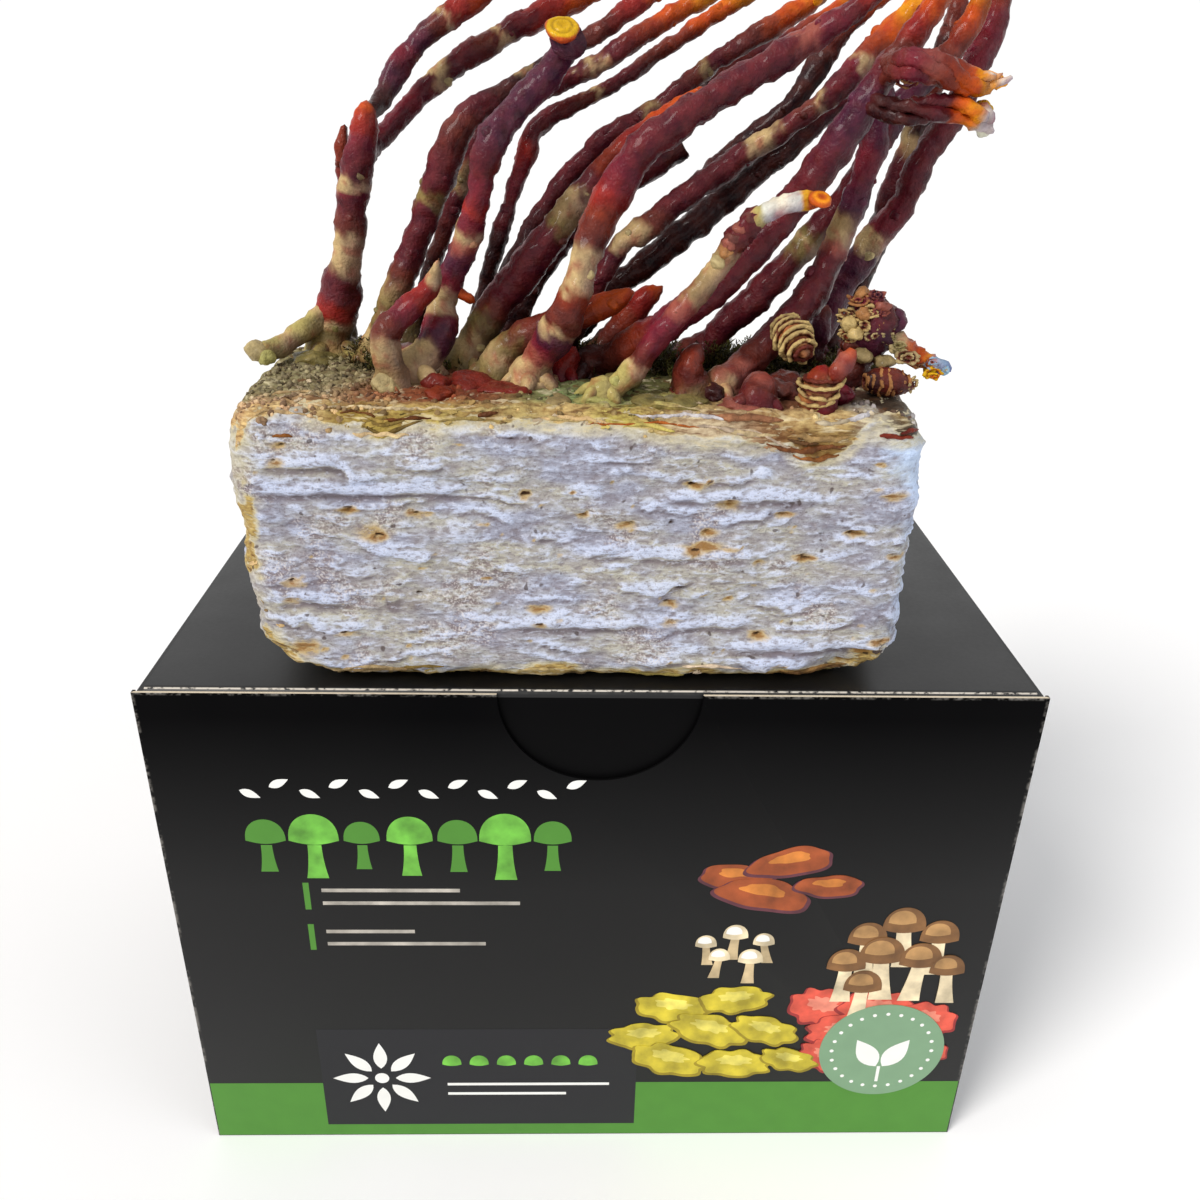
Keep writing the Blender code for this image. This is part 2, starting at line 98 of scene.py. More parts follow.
# %% [markdown]
# ## Floor and studio light
#
# A white sky gives the satin card its soft grey sheen. One large soft lamp from the upper left models
# the stems, and a weaker one from the right lights their far sides so that they are not black; their purple
# tint is painted shade on the vertices. Small lamps would give hard spots on lacquer, so both are wide.

# %% Floor and lights
FLOOR_SIZE = 12.0
SKY_STRENGTH = 1.03
SKY_LIGHT = 0.54
SUN_STRENGTH = 2.45
SUN_FROM = Vector((-0.62, -0.55, 0.72))
SUN_ANGLE = math.radians(24)
FILL_PLACE = Vector((0.9, -0.6, 0.7))
FILL_TARGET = Vector((0.0, 0.0, 0.28))
FILL_SIZE = 0.8
FILL_WATTS = 2.0


def tint(red, green, blue):
    """A colour as seen on a screen, 0 to 255, as the linear colour that a shader takes."""
    shares = [c / 255 for c in (red, green, blue)]
    return tuple(c / 12.92 if c < 0.04045 else ((c + 0.055) / 1.055) ** 2.4 for c in shares) + (1.0,)


def new_material(name, roughness=0.5):
    """A material, its node tree and the input sockets of its shader."""
    made = bpy.data.materials.new(name)
    made.use_nodes = True
    sockets = made.node_tree.nodes["Principled BSDF"].inputs
    sockets["Roughness"].default_value = roughness
    return made, made.node_tree, sockets


def add(tree, kind, **values):
    """A node with its settings, and its inputs by name where the value is for a socket."""
    node = tree.nodes.new("ShaderNode" + kind)
    for key, value in values.items():
        if hasattr(node, key):
            setattr(node, key, value)
        else:
            node.inputs[key.replace("_", " ")].default_value = value
    return node


def join(tree, *pairs):
    for source, target in pairs:
        tree.links.new(source, target)


def remap(tree, value, low, high, to_low=0.0, to_high=1.0):
    made = add(tree, "MapRange", From_Min=low, From_Max=high, To_Min=to_low, To_Max=to_high)
    join(tree, (value, made.inputs["Value"]))
    return made.outputs["Result"]


world = bpy.data.worlds.new("white surroundings")
bpy.context.scene.world = world
world.use_nodes = True
tree = world.node_tree
background = tree.nodes["Background"].inputs
background["Color"].default_value = (1.0, 1.0, 1.0, 1.0)
diffuse = add(tree, "LightPath").outputs["Is Diffuse Ray"]
join(tree, (remap(tree, diffuse, 1.0, 0.0, SKY_LIGHT, SKY_STRENGTH), background["Strength"]))
bpy.context.scene.view_settings.view_transform = "Standard"

nothing_selected()
bpy.ops.mesh.primitive_plane_add(size=FLOOR_SIZE)
floor = bpy.context.object
floor.name = "pale_floor"
floor_paint, tree, sockets = new_material("pale floor", 0.8)
sockets["Base Color"].default_value = tint(254, 254, 255)
floor.data.materials.append(floor_paint)
bpy.ops.object.light_add(type="SUN", location=SUN_FROM)
sun = bpy.context.object
sun.name = "key light"
sun.data.energy = SUN_STRENGTH
sun.data.angle = SUN_ANGLE
sun.data.color = (1.0, 0.97, 0.93)
sun.rotation_euler = SUN_FROM.to_track_quat("Z", "Y").to_euler()
bpy.ops.object.light_add(type="AREA", location=FILL_PLACE)
lamp = bpy.context.object
lamp.name = "fill lamp"
lamp.data.shape = "DISK"
lamp.data.size = FILL_SIZE
lamp.data.energy = FILL_WATTS
lamp.data.color = (0.9, 0.94, 1.0)
lamp.rotation_euler = (FILL_TARGET - FILL_PLACE).to_track_quat("-Z", "Y").to_euler()
print("two lamps and a floor of", FLOOR_SIZE, "m")

# %% [markdown]
# ## The middle line of each stem
#
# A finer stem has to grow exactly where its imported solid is. Its route could be written out a second time,
# but then two lists would have to agree. Each solid is a tube of rings instead, so its own rings are read:
# it starts at the ring around the tip and walks from ring to ring to the foot. A fork's foot is cut to its
# parent, so its line is carried on to the parent's middle, which closes the crotch.

# %% Middle lines
LEAVES = {
    "shoot_left_pale": "antler_left", "fork_left_upper": "antler_left", "fork_left_lower": "antler_left",
    "bud_red_left": "antler_capped", "fork_dark_long": "antler_dark_long", "fork_banded": "antler_banded",
    "shoot_white_tip": "antler_pale_foot", "wilted_upper": "antler_broad", "wilted_lower": "antler_broad",
    "ringed_stub_pale": "antler_right_glossy", "horn_orange": "ringed_stub_front",
    "shoot_blue_tip": "stub_crusted"}
# The dried stubs are no plain tubes: millimetres to the right, back and above the block, and the radius
DRIED_ROUTES = {
    "ringed_stub_front": [(63, -66, 0, 4.6), (62, -66, 3, 5.8), (62, -66.5, 6, 6.2), (62, -66.5, 9, 5.6),
                          (63, -66, 12, 3)],
    "stub_crusted": [(77, -41, 0, 3.4), (77, -42, 8, 3.6), (79, -43.5, 14, 5.2), (81, -46, 20, 6), (84, -48, 25, 3.2)],
    "ringed_cone": [(78, -55, 4.6, 2.6), (82, -55, 4.6, 3.8), (87, -55, 4.4, 3.6), (92, -55, 3.8, 1.6)],
    "ringed_stub_pale": [(53, -40, 17, 3), (54.5, -46, 17.5, 4.6), (55.5, -51, 17, 5.6), (57, -55.5, 15, 5),
                         (58.5, -59.5, 12.8, 3.4)],
    "horn_orange": [(64, -67, 8, 2.5), (66.5, -67, 11, 2.5), (69, -66, 13.6, 2.1), (71.4, -65, 16, 1.3)],
    "shoot_left_pale": [(-84, -10, 15, 3.4), (-90, -14, 11, 3.6), (-97, -20, 6.5, 3.6), (-103, -25, 4, 3.4),
                        (-106.5, -28, 4, 2.6)],
    "shoot_blue_tip": [(82, -46, 20, 2.4), (89, -46.5, 14, 3.3), (95, -47, 10, 2.9), (104, -48, 7, 1.4)]}
STEM_WORDS = ("antler", "stub", "bud", "fork", "shoot", "wilted", "horn", "ringed")
CAP_ANGLE = math.radians(65)
WELD = 0.01 * MM
LINE_STEP = 1.1 * MM
BLOCK_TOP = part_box("antler_front")[0].z


def merged(name):
    """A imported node's loose triangles as one closed shape."""
    shape = bmesh.new()
    shape.from_mesh(nodes[name].data)
    bmesh.ops.remove_doubles(shape, verts=shape.verts, dist=WELD)
    return shape


def object_of(name, mesh):
    made = bpy.data.objects.new(name, mesh)
    bpy.context.scene.collection.objects.link(made)
    return made


def copied(node, name):
    """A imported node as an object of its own."""
    mesh = bpy.data.meshes.new(name)
    merged(node).to_mesh(mesh)
    return object_of(name, mesh)


def middle_of(ring):
    return sum((vert.co for vert in ring), Vector()) / len(ring)


def end_rings(shape):
    """The rings of vertices that stand around the flat ends."""
    sharp = {edge for edge in shape.edges if edge.calc_face_angle(0.0) > CAP_ANGLE}
    rings = []
    while sharp:
        ring, front = set(), {sharp.pop()}
        while front:
            edge = front.pop()
            ring.update(edge.verts)
            linked = {near for vert in edge.verts for near in vert.link_edges} & sharp
            sharp -= linked
            front |= linked
        rings.append(ring)
    return rings


def walk_rings(ring):
    """The middle and mean radius of each whole ring, from this one on."""
    line, seen, layer, count = [], set(ring), set(ring), len(ring)
    while len(layer) == count:
        middle = middle_of(layer)
        line.append(Vector((*middle, sum((vert.co - middle).length for vert in layer) / count)))
        layer = {vert for near in layer for edge in near.link_edges for vert in edge.verts} - seen
        seen |= layer
    return line


def smooth_line(knots):
    """A smooth line through the rings, with a point about every step."""
    ends = [knots[0] * 2 - knots[1]] + knots + [knots[-1] * 2 - knots[-2]]
    fine = []
    for before, start, end, after in zip(ends, ends[1:], ends[2:], ends[3:]):
        count = max(1, round((end.xyz - start.xyz).length / LINE_STEP))
        for index in range(count):
            t = index / count
            fine.append((start * 2 + (end - before) * t + (before * 2 - start * 5 + end * 4 - after) * t * t
                         + (start * 3 - before - end * 3 + after) * t * t * t) / 2)
    fine.append(knots[-1])
    return fine


def nearest(line, place):
    return min(line, key=lambda point: (point.xyz - place).length)


def stem_knots(name):
    """The rings of one stem from foot to tip, a fork's with its start on the parent's middle line."""
    if name in DRIED_ROUTES:
        return [Vector(knot) * MM + Vector((0.0, 0.0, BLOCK_TOP, 0.0)) for knot in DRIED_ROUTES[name]]
    shape = merged(name)
    rings = end_rings(shape)
    if name not in LEAVES:
        return walk_rings(max(rings, key=lambda ring: middle_of(ring).z))[::-1]
    parent = lines[LEAVES[name]]
    tip = min((ring for ring in rings if len(ring) in (6, 8)), key=len) if name == "bud_red_left" else max(
        rings, key=lambda ring: (middle_of(ring) - nearest(parent, middle_of(ring)).xyz).length)
    knots = walk_rings(tip)[::-1]
    back = knots[0].xyz
    if len(knots) > 1:
        back = back + (knots[0].xyz - knots[1].xyz).normalized() * knots[0].w * 2
    at = parent.index(nearest(parent, back))
    while at > 0 and parent[at].w < knots[0].w * 1.15:
        at -= 1
    return [Vector((*parent[at].xyz, knots[0].w))] + knots


stem_names = [name for name in sorted(nodes) if any(word in name for word in STEM_WORDS)]
lines = {}
for name in sorted(stem_names, key=lambda name: (name in LEAVES, name)):
    lines[name] = smooth_line(stem_knots(name))
print(len(lines), "middle lines, the longest of", max(map(len, lines.values())), "points")

# %% [markdown]
# ## The colours of a growing antler
#
# A reishi antler is cream while it grows, then orange, then red, and at last it is lacquered a dark maroon.
# Each pause in its growth leaves a pale band. The bands belong to the stem's length, not to the room, so
# they are painted on the vertices, by how high the middle line has risen there, with a ragged edge. Over
# them goes painted light and shade: lighter and redder on the side towards the key lamp, darker and purple
# on the far side.

# %% Colours and bands
COLOURS = {
    "cream": (184, 170, 122), "pale": (148, 134, 92), "olive": (124, 118, 70), "grass": (172, 172, 104),
    "brown": (92, 40, 34), "tan": (172, 124, 76), "maroon": (84, 22, 38), "purple": (68, 26, 54),
    "red": (140, 32, 30), "wine": (104, 24, 46), "dark": (36, 12, 20), "orange": (188, 80, 18),
    "yellow": (228, 156, 20), "gold": (226, 182, 26), "white": (226, 230, 208), "pink": (146, 84, 72),
    "blue": (150, 196, 224), "rust": (124, 46, 26), "brick": (112, 34, 28), "mauve": (96, 54, 50),
    "butter": (206, 184, 122), "frost": (204, 220, 212)}

# Height of the middle line above the block in millimetres, and the colour there
# The long dark runs at the feet of the back stems, such as antler_shadow, antler_cut and antler_right_back, are partly
# their own deep maroon and partly painted shade between the stems
BANDS_BY_HEIGHT = {
    "antler_left": "0 grass 7 olive 11 cream 14 red 21 maroon 25 maroon 29 cream 37 cream 41 brown 47 maroon"
                   " 49 wine 51 cream 53 cream 56 maroon 64 wine 68 red 74 orange",
    "antler_left_back": "0 olive 14 dark 34 brown 44 maroon 60 rust",
    "fork_left_upper": "60 maroon 74 dark 80 purple 87 wine 91 purple 96 brown 98 cream 100 red 106 orange"
                       " 112 yellow 115 white",
    "fork_left_lower": "56 maroon 74 wine 79 maroon 80 cream 82 cream 85 maroon 91 brown 93 cream 95 maroon"
                       " 100 red 105 orange 112 yellow 117 white",
    "antler_second": "0 olive 8 cream 14 olive 22 pale 27 brown 33 maroon 46 maroon 48 olive 51 olive 54 maroon"
                     " 69 brown 75 maroon 81 dark 83 pale 85 dark 95 brown 101 red 105 orange 112 yellow",
    "antler_second_back": "0 olive 18 dark 34 brown 48 maroon 50 pale 55 pale 60 maroon 76 brown 84 maroon"
                          " 86 cream 88 maroon 95 rust 99 orange 107 yellow 111 white",
    "antler_capped": "0 cream 8 cream 11 purple 15 wine 19 cream 24 cream 28 wine 34 purple 38 pink 42 cream"
                     " 45 wine 49 red 54 wine 62 maroon 72 purple 86 purple 92 purple",
    "stub_pale_tip": "0 cream 7 pale 12 cream 16 brown 20 wine 24 red 28 red 31 cream 37 cream",
    "antler_thin": "0 olive 14 dark 30 dark 38 maroon 48 wine 60 red 68 maroon 76 brown 78 cream 80 maroon"
                   " 88 brown 94 rust 98 orange 108 yellow 112 white",
    "antler_orange_tip": "0 olive 8 cream 13 olive 18 brown 24 maroon 40 maroon 43 olive 47 pale 51 cream 54 maroon"
                         " 60 rust 66 red 73 orange 82 orange",
    "antler_dark_long": "0 dark 20 dark 50 maroon 70 maroon 73 pale 76 maroon 83 brown 85 pale 87 maroon"
                        " 94 brown 100 orange 108 yellow",
    "fork_dark_long": "70 maroon 84 brown 92 maroon 97 rust 101 orange 110 yellow 116 white",
    "antler_cut": "0 dark 18 dark 40 maroon 60 maroon 66 dark",
    "antler_front": "0 cream 6 cream 9 pink 12 wine 15 purple 18 cream 21 brown 26 rust 29 cream 38 cream 42 brown"
                    " 48 rust 54 red 60 wine 70 maroon 80 maroon 90 maroon 93 pink 96 wine 100 maroon 104 red"
                    " 110 orange",
    "antler_banded": "0 dark 14 dark 26 maroon 34 maroon 37 cream 40 cream 44 brown 50 maroon 63 maroon 66 cream"
                     " 68 cream 71 maroon 75 brown 78 cream 80 maroon 86 wine 88 cream 90 rust 94 orange 101 yellow"
                     " 112 white",
    "fork_banded": "50 maroon 66 dark 84 dark 92 brown 98 rust 104 orange 112 yellow",
    "antler_shadow": "0 dark 30 dark 60 dark 80 maroon 94 brown 101 orange 112 yellow",
    "stub_orange_left": "0 olive 6 cream 9 olive 13 brown 18 rust 25 orange",
    "stub_orange_right": "0 olive 8 brown 14 rust 20 red 25 orange",
    "bud_red_middle": "0 wine 5 red 10 red",
    "bud_red_left": "10 cream 16 wine 19 red 23 orange",
    "antler_pale_foot": "0 grass 6 grass 9 cream 12 brown 16 wine 21 wine 25 pink 29 pale 37 cream 40 pale 42 brown"
                        " 48 maroon 52 brown",
    "antler_broad": "0 dark 6 brown 12 rust 18 wine 30 maroon 60 maroon 78 purple 84 maroon 90 brown 96 red"
                    " 101 orange 110 yellow",
    "antler_right_inner": "0 brown 10 maroon 30 maroon 35 olive 38 cream 40 olive 44 maroon 66 maroon 80 purple"
                          " 88 brown 94 rust 99 orange 110 yellow",
    "antler_right_glossy": "0 cream 4 pink 9 brown 15 maroon 34 maroon 38 pink 42 cream 46 pale 50 purple 62 wine"
                           " 74 purple 83 purple",
    "antler_right_outer": "0 maroon 24 purple 32 purple 34 cream 38 cream 41 wine 60 maroon 80 maroon 88 wine"
                          " 98 wine 108 rust 116 orange",
    "antler_right_back": "0 dark 30 dark 58 maroon 63 cream 66 cream 70 dark 84 rust 90 dark 98 brown 108 rust",
    "bud_brown_tall": "0 olive 6 brown 12 rust 15 brown",
    "bud_brown_front": "0 maroon 4 brown 8 pink",
    "bud_purple": "0 dark 12 purple 20 brown",
}

# Millimetres along the middle line, for the growths that lie down
BANDS_BY_LENGTH = {
    "shoot_left_pale": "0 olive 6 cream 12 grass 20 cream 27 grass",
    "shoot_white_tip": "0 brown 2 cream 4 grass 6 frost 11 white 15 frost 17 gold 19 orange",
    "wilted_upper": "0 wine 8 brown 14 wine 20 pink 25 rust 29 orange 34 yellow 38 white",
    "wilted_lower": "0 maroon 8 dark 24 maroon 28 orange 32 yellow 35 white",
    "ringed_stub_pale": "0 brown 6 tan 24 tan",
    "ringed_stub_front": "0 wine 3 tan 8 tan 10 rust 12 red",
    "ringed_cone": "0 dark 6 brown 16 brown",
    "stub_crusted": "0 dark 8 brown 14 wine 18 purple 24 maroon 28 brown",
    "horn_orange": "0 rust 6 pink 10 orange 14 orange",
    "shoot_blue_tip": "0 brown 8 cream 15 orange 19 yellow 22 blue 27 blue",
}
print(len(BANDS_BY_HEIGHT) + len(BANDS_BY_LENGTH), "stems have their bands")

# %% [markdown]
# ## Growing the stems
#
# Each stem is a curve with a round section, drawn along its middle line by hand's own tool, the path. Its
# thickness comes from the rings, with a flared foot that grips the block, growth swellings on the way, and
# a rounded end. Then it is made a mesh, and two displacements give it lumps and warts: a smooth tube never
# looks grown. A crumpled stem only has stronger ones.

# %% Stem shapes
STEM_SIDES = 9
GIRTHS = {"stub_crusted": 1.05, "ringed_stub_pale": 0.66, "ringed_stub_front": 0.66, "shoot_blue_tip": 0.7,
          "antler_pale_foot": 0.86, "wilted_upper": 0.78, "wilted_lower": 0.78}
FOOT_FLARE = 0.55
FOOT_LENGTH = 4.5 * MM
FOOT_SINK = 1.6 * MM
SWELL_SHARE = 0.10
SWELL_LENGTH = 7.5 * MM
WANDER = 0.5 * MM
WANDER_LENGTH = 9 * MM
PLAIN_GIRTH = 0.96
PAINT_LIMIT = 0.9


def cloud_texture(name, size, depth):
    texture = bpy.data.textures.new(name, "CLOUDS")
    texture.noise_scale = size
    texture.noise_depth = depth
    texture.noise_basis = "ORIGINAL_PERLIN"
    return texture


def push_out(piece, texture, strength):
    """Displaces a piece along its normals by a texture, and applies it."""
    push = piece.modifiers.new("push", "DISPLACE")
    push.texture = texture
    push.texture_coords = "LOCAL"
    push.strength = strength
    push.mid_level = 0.5
    bpy.ops.object.modifier_apply(modifier=push.name)


lump_texture = cloud_texture("lumps", 5.5 * MM, 1)
wart_texture = cloud_texture("warts", 1.7 * MM, 2)


def lengths_along(line):
    """How far along its line each point is."""
    found = [0.0]
    for before, point in zip(line, line[1:]):
        found.append(found[-1] + (point.xyz - before.xyz).length)
    return found


def stem_points(name, line):
    """The points of the drawn curve: the middle line, wandering a little, with the radius at each."""
    points, lengths = [], lengths_along(line)
    on_block = name not in LEAVES and name != "ringed_cone"
    for point, along in zip(line, lengths):
        place = point.xyz + noise.noise_vector(point.xyz / WANDER_LENGTH) * WANDER
        swell = noise.noise(place / SWELL_LENGTH) + 0.5 * noise.noise(place / SWELL_LENGTH * 2.3)
        girth = point.w * (1.0 + SWELL_SHARE * swell) * GIRTHS.get(name, PLAIN_GIRTH)
        if on_block:
            girth *= 1.0 + FOOT_FLARE * math.exp(-(along / FOOT_LENGTH) ** 2)
        left = (lengths[-1] - along) / (line[-1].w * 1.6)
        if left < 1.0 and name not in ("antler_capped", "antler_cut"):
            girth *= math.sqrt(max(1.0 - (1.0 - left) ** 2, 0.0)) * 0.9 + 0.1
        points.append((place, girth))
    if on_block:
        sunk = points[0][0] - Vector((0.0, 0.0, FOOT_SINK))
        points.insert(0, (sunk, points[0][1] * 1.1))
    return points


def apply(piece, kind, **settings):
    """Adds a modifier with its settings, and applies it."""
    step = piece.modifiers.new(kind.lower(), kind)
    for key, value in settings.items():
        setattr(step, key, value)
    pick(piece)
    bpy.ops.object.modifier_apply(modifier=step.name)


def settle(piece):
    """Writes an object's place, turn and size into its mesh."""
    pick(piece)
    bpy.ops.object.transform_apply(location=True, rotation=True, scale=True)


def turn_outward(weld=False):
    """Turns the active piece's faces outward, after welding its loose ends if asked."""
    bpy.ops.object.mode_set(mode="EDIT")
    bpy.ops.mesh.select_all(action="SELECT")
    if weld:
        bpy.ops.mesh.remove_doubles(threshold=WELD)
    bpy.ops.mesh.normals_make_consistent(inside=False)
    bpy.ops.object.mode_set(mode="OBJECT")


def set_down(piece, size, facing, place):
    """Gives a piece its size, the way its top faces and its place, and writes them into its mesh."""
    piece.scale = size
    piece.rotation_euler = facing.to_track_quat("Z", "Y").to_euler()
    piece.location = place
    settle(piece)


def draw_tube(name, points, sides):
    """A curve through the points, each with its own radius, made a closed mesh."""
    nothing_selected()
    bpy.ops.curve.primitive_nurbs_path_add(location=(0.0, 0.0, 0.0))
    tube = bpy.context.object
    tube.name = name
    tube.data.splines.clear()
    spline = tube.data.splines.new("POLY")
    spline.points.add(len(points) - 1)
    for drawn, (place, girth) in zip(spline.points, points):
        drawn.co = (*place, 1.0)
        drawn.radius = girth / MM
    spline.use_smooth = True
    tube.data.bevel_depth = MM
    tube.data.bevel_resolution = sides
    tube.data.use_fill_caps = True
    bpy.ops.object.convert(target="MESH")
    turn_outward(weld=True)
    bpy.ops.object.shade_smooth()
    return tube


def frozen(piece):
    """Each vertex with its place and its normal as they are before anything moves."""
    return [(vert, vert.co.copy(), vert.normal.copy()) for vert in piece.data.vertices]


def crumple(piece, size, depth, above=None):
    """Moves the skin in and out by ridged noise, as drying does; only above a height in mm, if one is given."""
    for vert, place, normal in frozen(piece):
        ridge = 1.0 - 2.6 * abs(noise.noise(place / size))
        ridge += 0.5 - 1.3 * abs(noise.noise(place / size * 2.1 + Vector((5.0, 1.0, 2.0))))
        share = 1.0 if above is None else soft_step((place.z - BLOCK_TOP) / MM, above - 2, above + 3)
        vert.co = place + normal * depth * ridge * share


def soft_step(value, low, high):
    share = min(max((value - low) / (high - low), 0.0), 1.0)
    return share * share * (3.0 - 2.0 * share)


def vertex_tone(colour):
    """A colour, given as 0 to 255, as it is painted on a vertex."""
    return np.array(tint(*colour)[:3])


def shade(name):
    return vertex_tone(COLOURS[name])


def paint_all(piece, colour_of):
    """Paints each vertex by a function of its place."""
    paint = piece.data.color_attributes.new("grown_colour", "FLOAT_COLOR", "POINT")
    for vert, dab in zip(piece.data.vertices, paint.data):
        dab.color = (*colour_of(vert.co), 1.0)


def speckled(tone, amount, size):
    """A painter that varies one tone by noise of this size."""
    return lambda co: np.clip(tone * (1.0 + amount * noise.noise(co / size)), 0, PAINT_LIMIT)


def read_bands(text):
    words = text.split()
    return [(float(at), shade(name)) for at, name in zip(words[::2], words[1::2])]


def band_colour(bands, at):
    for (low, below), (high, above) in zip(bands, bands[1:]):
        if at < high:
            share = soft_step(at, low, high)
            share = share ** 2 if above.sum() > below.sum() else 1.0 - (1.0 - share) ** 2
            return below * (1.0 - share) + above * share
    return bands[-1][1]


RAGGED = 2.6
RAGGED_LENGTH = 4.5 * MM
VEIN_LENGTH = 3.2 * MM
VEIN_TINT = (0.75, 0.35, 0.4)
VEIN_SHARE = 0.75
# Painted light and shade on the stems: the tint of the side towards the key lamp, and the darker, purple tint of the
# far side
LIT_SIDE = (1.3, 1.16, 1.1)
SHADED_SIDE_TINT = (0.52, 0.44, 0.64)


def paint_bands(piece, name, line):
    """Gives each vertex the colour of its place on the middle line, with painted light on the side towards
    the key lamp and painted shade on the far side.
    """
    by_height = name in BANDS_BY_HEIGHT
    bands = read_bands(BANDS_BY_HEIGHT[name] if by_height else BANDS_BY_LENGTH[name])
    measures = [((point.z - BLOCK_TOP) if by_height else along) / MM for point, along in zip(line, lengths_along(line))]
    middles = np.array([point.xyz for point in line])
    paint = piece.data.color_attributes.new("grown_colour", "FLOAT_COLOR", "POINT")
    for vert, dab in zip(piece.data.vertices, paint.data):
        at = measures[int(((middles - np.array(vert.co)) ** 2).sum(axis=1).argmin())]
        at += RAGGED * noise.noise(vert.co / RAGGED_LENGTH) + 0.4 * RAGGED * noise.noise(vert.co / RAGGED_LENGTH * 3.1)
        # Painted light and shade: how far this vertex faces away from the key lamp, which picks between the two tints
        turned_from_light = soft_step(vert.normal.x * 0.8 - vert.normal.z * 0.3 + 0.25 * noise.noise(vert.co / RAGGED_LENGTH),
                              -0.8, 0.8)
        side = np.array(LIT_SIDE) * (1.0 - turned_from_light) + np.array(SHADED_SIDE_TINT) * turned_from_light
        colour = band_colour(bands, at)
        veins = soft_step(noise.noise(vert.co / VEIN_LENGTH) + 0.5 * noise.noise(vert.co / VEIN_LENGTH * 2.7), 0.0, 0.6)
        colour = colour + (colour * np.array(VEIN_TINT) - colour) * veins * VEIN_SHARE
        dab.color = (*np.clip(colour * side, 0.0, PAINT_LIMIT), 1.0)


# %% [markdown]
# ## The lacquer
#
# The lacquer is a thin hard resin over a corky stem. A dark clear coat would do for the old wood, but the
# cream bands are dull, so the roughness follows how dark the painted colour is. Fine mottling and shallow
# furrows are shared by every living piece here, so they are one node group.

# %% Shader groups
def new_group(name, inputs, outputs):
    """A shader node group with named inputs and outputs."""
    group = bpy.data.node_groups.new(name, "ShaderNodeTree")
    for label, kind, value in inputs:
        socket = group.interface.new_socket(label, in_out="INPUT", socket_type=kind)
        socket.default_value = value
    for label, kind in outputs:
        group.interface.new_socket(label, in_out="OUTPUT", socket_type=kind)
    return group, group.nodes.new("NodeGroupInput"), group.nodes.new("NodeGroupOutput")


def noise_node(tree, place, scale, detail=2.0):
    made = add(tree, "TexNoise", Scale=scale, Detail=detail)
    join(tree, (place, made.inputs["Vector"]))
    return made.outputs["Fac"]


def fill(tree, sockets, values):
    """Each value goes to its socket, as a constant or as a link."""
    for socket, value in zip(sockets, values):
        if isinstance(value, (int, float, tuple)):
            socket.default_value = value
        else:
            join(tree, (value, socket))


def math_node(tree, operation, first, second):
    made = add(tree, "Math", operation=operation)
    fill(tree, made.inputs, (first, second))
    return made.outputs[0]


def plus(tree, first, second):
    return math_node(tree, "ADD", first, second)


def times(tree, first, second):
    return math_node(tree, "MULTIPLY", first, second)


def mix_colours(tree, share, first, second, blend="MIX"):
    made = add(tree, "Mix", data_type="RGBA", blend_type=blend)
    fill(tree, (made.inputs[0], made.inputs[6], made.inputs[7]), (share, first, second))
    return made.outputs[2]


grown_group, group_in, group_out = new_group(
    "living skin",
    [("Colour", "NodeSocketColor", (0.5, 0.5, 0.5, 1.0)), ("Mottling", "NodeSocketFloat", 0.35),
     ("Bump", "NodeSocketFloat", 0.3)],
    [("Colour", "NodeSocketColor"), ("Roughness", "NodeSocketFloat"), ("Normal", "NodeSocketVector")])
tree, painted = grown_group, group_in.outputs["Colour"]
place = add(tree, "TexCoord").outputs["Object"]
blotch = remap(tree, noise_node(tree, place, 260.0, 3.0), 0.3, 0.7)
grain = remap(tree, noise_node(tree, place, 1100.0, 2.0), 0.3, 0.7)
mottling = group_in.outputs["Mottling"]
darker = mix_colours(tree, mottling, painted, mix_colours(tree, 1.0, painted, tint(150, 120, 128), "MULTIPLY"))
lighter = mix_colours(tree, mottling, painted, mix_colours(tree, 1.0, painted, tint(92, 42, 22), "ADD"))
skin_colour = mix_colours(tree, blotch, darker, lighter)
skin_colour = mix_colours(tree, times(tree, grain, 0.25), skin_colour,
                          mix_colours(tree, 1.0, skin_colour, tint(180, 170, 168), "MULTIPLY"))
brightness = add(tree, "RGBToBW")
join(tree, (painted, brightness.inputs[0]))
dull = remap(tree, brightness.outputs[0], 0.04, 0.4, 0.3, 0.62)
dull = plus(tree, dull, times(tree, grain, 0.12))
relief = plus(tree, times(tree, blotch, 0.7), grain)
bump = add(tree, "Bump", Distance=0.35 * MM)
join(tree, (relief, bump.inputs["Height"]), (group_in.outputs["Bump"], bump.inputs["Strength"]),
     (skin_colour, group_out.inputs["Colour"]), (dull, group_out.inputs["Roughness"]),
     (bump.outputs["Normal"], group_out.inputs["Normal"]))
print("shader group:", grown_group.name)


# %% Lacquer material
def grown_material(name, mottling, bump_strength, coat):
    """The material of a living piece, whose colour is painted on its vertices."""
    made, tree, sockets = new_material(name)
    painted = add(tree, "Attribute", attribute_name="grown_colour")
    skin = add(tree, "Group", node_tree=grown_group)
    skin.inputs["Mottling"].default_value = mottling
    skin.inputs["Bump"].default_value = bump_strength
    sockets["Specular IOR Level"].default_value = 0.11
    sockets["Coat Weight"].default_value = coat
    sockets["Coat Roughness"].default_value = 0.1
    join(tree, (painted.outputs["Color"], skin.inputs["Colour"]), (skin.outputs["Colour"], sockets["Base Color"]),
         (skin.outputs["Roughness"], sockets["Roughness"]), (skin.outputs["Normal"], sockets["Normal"]))
    return made


lacquer = grown_material("lacquered antler", 0.4, 0.6, 0.12)
crust_skin = grown_material("dry crust", 0.5, 0.8, 0.0)
print("materials:", lacquer.name, crust_skin.name)

# %% [markdown]
# ## All stems
#
# One loop grows them all. The dried stubs with rings and the wilted end shoots have their own treatment:
# stronger crumples, and for the ringed ones a radius that steps from ring to ring.

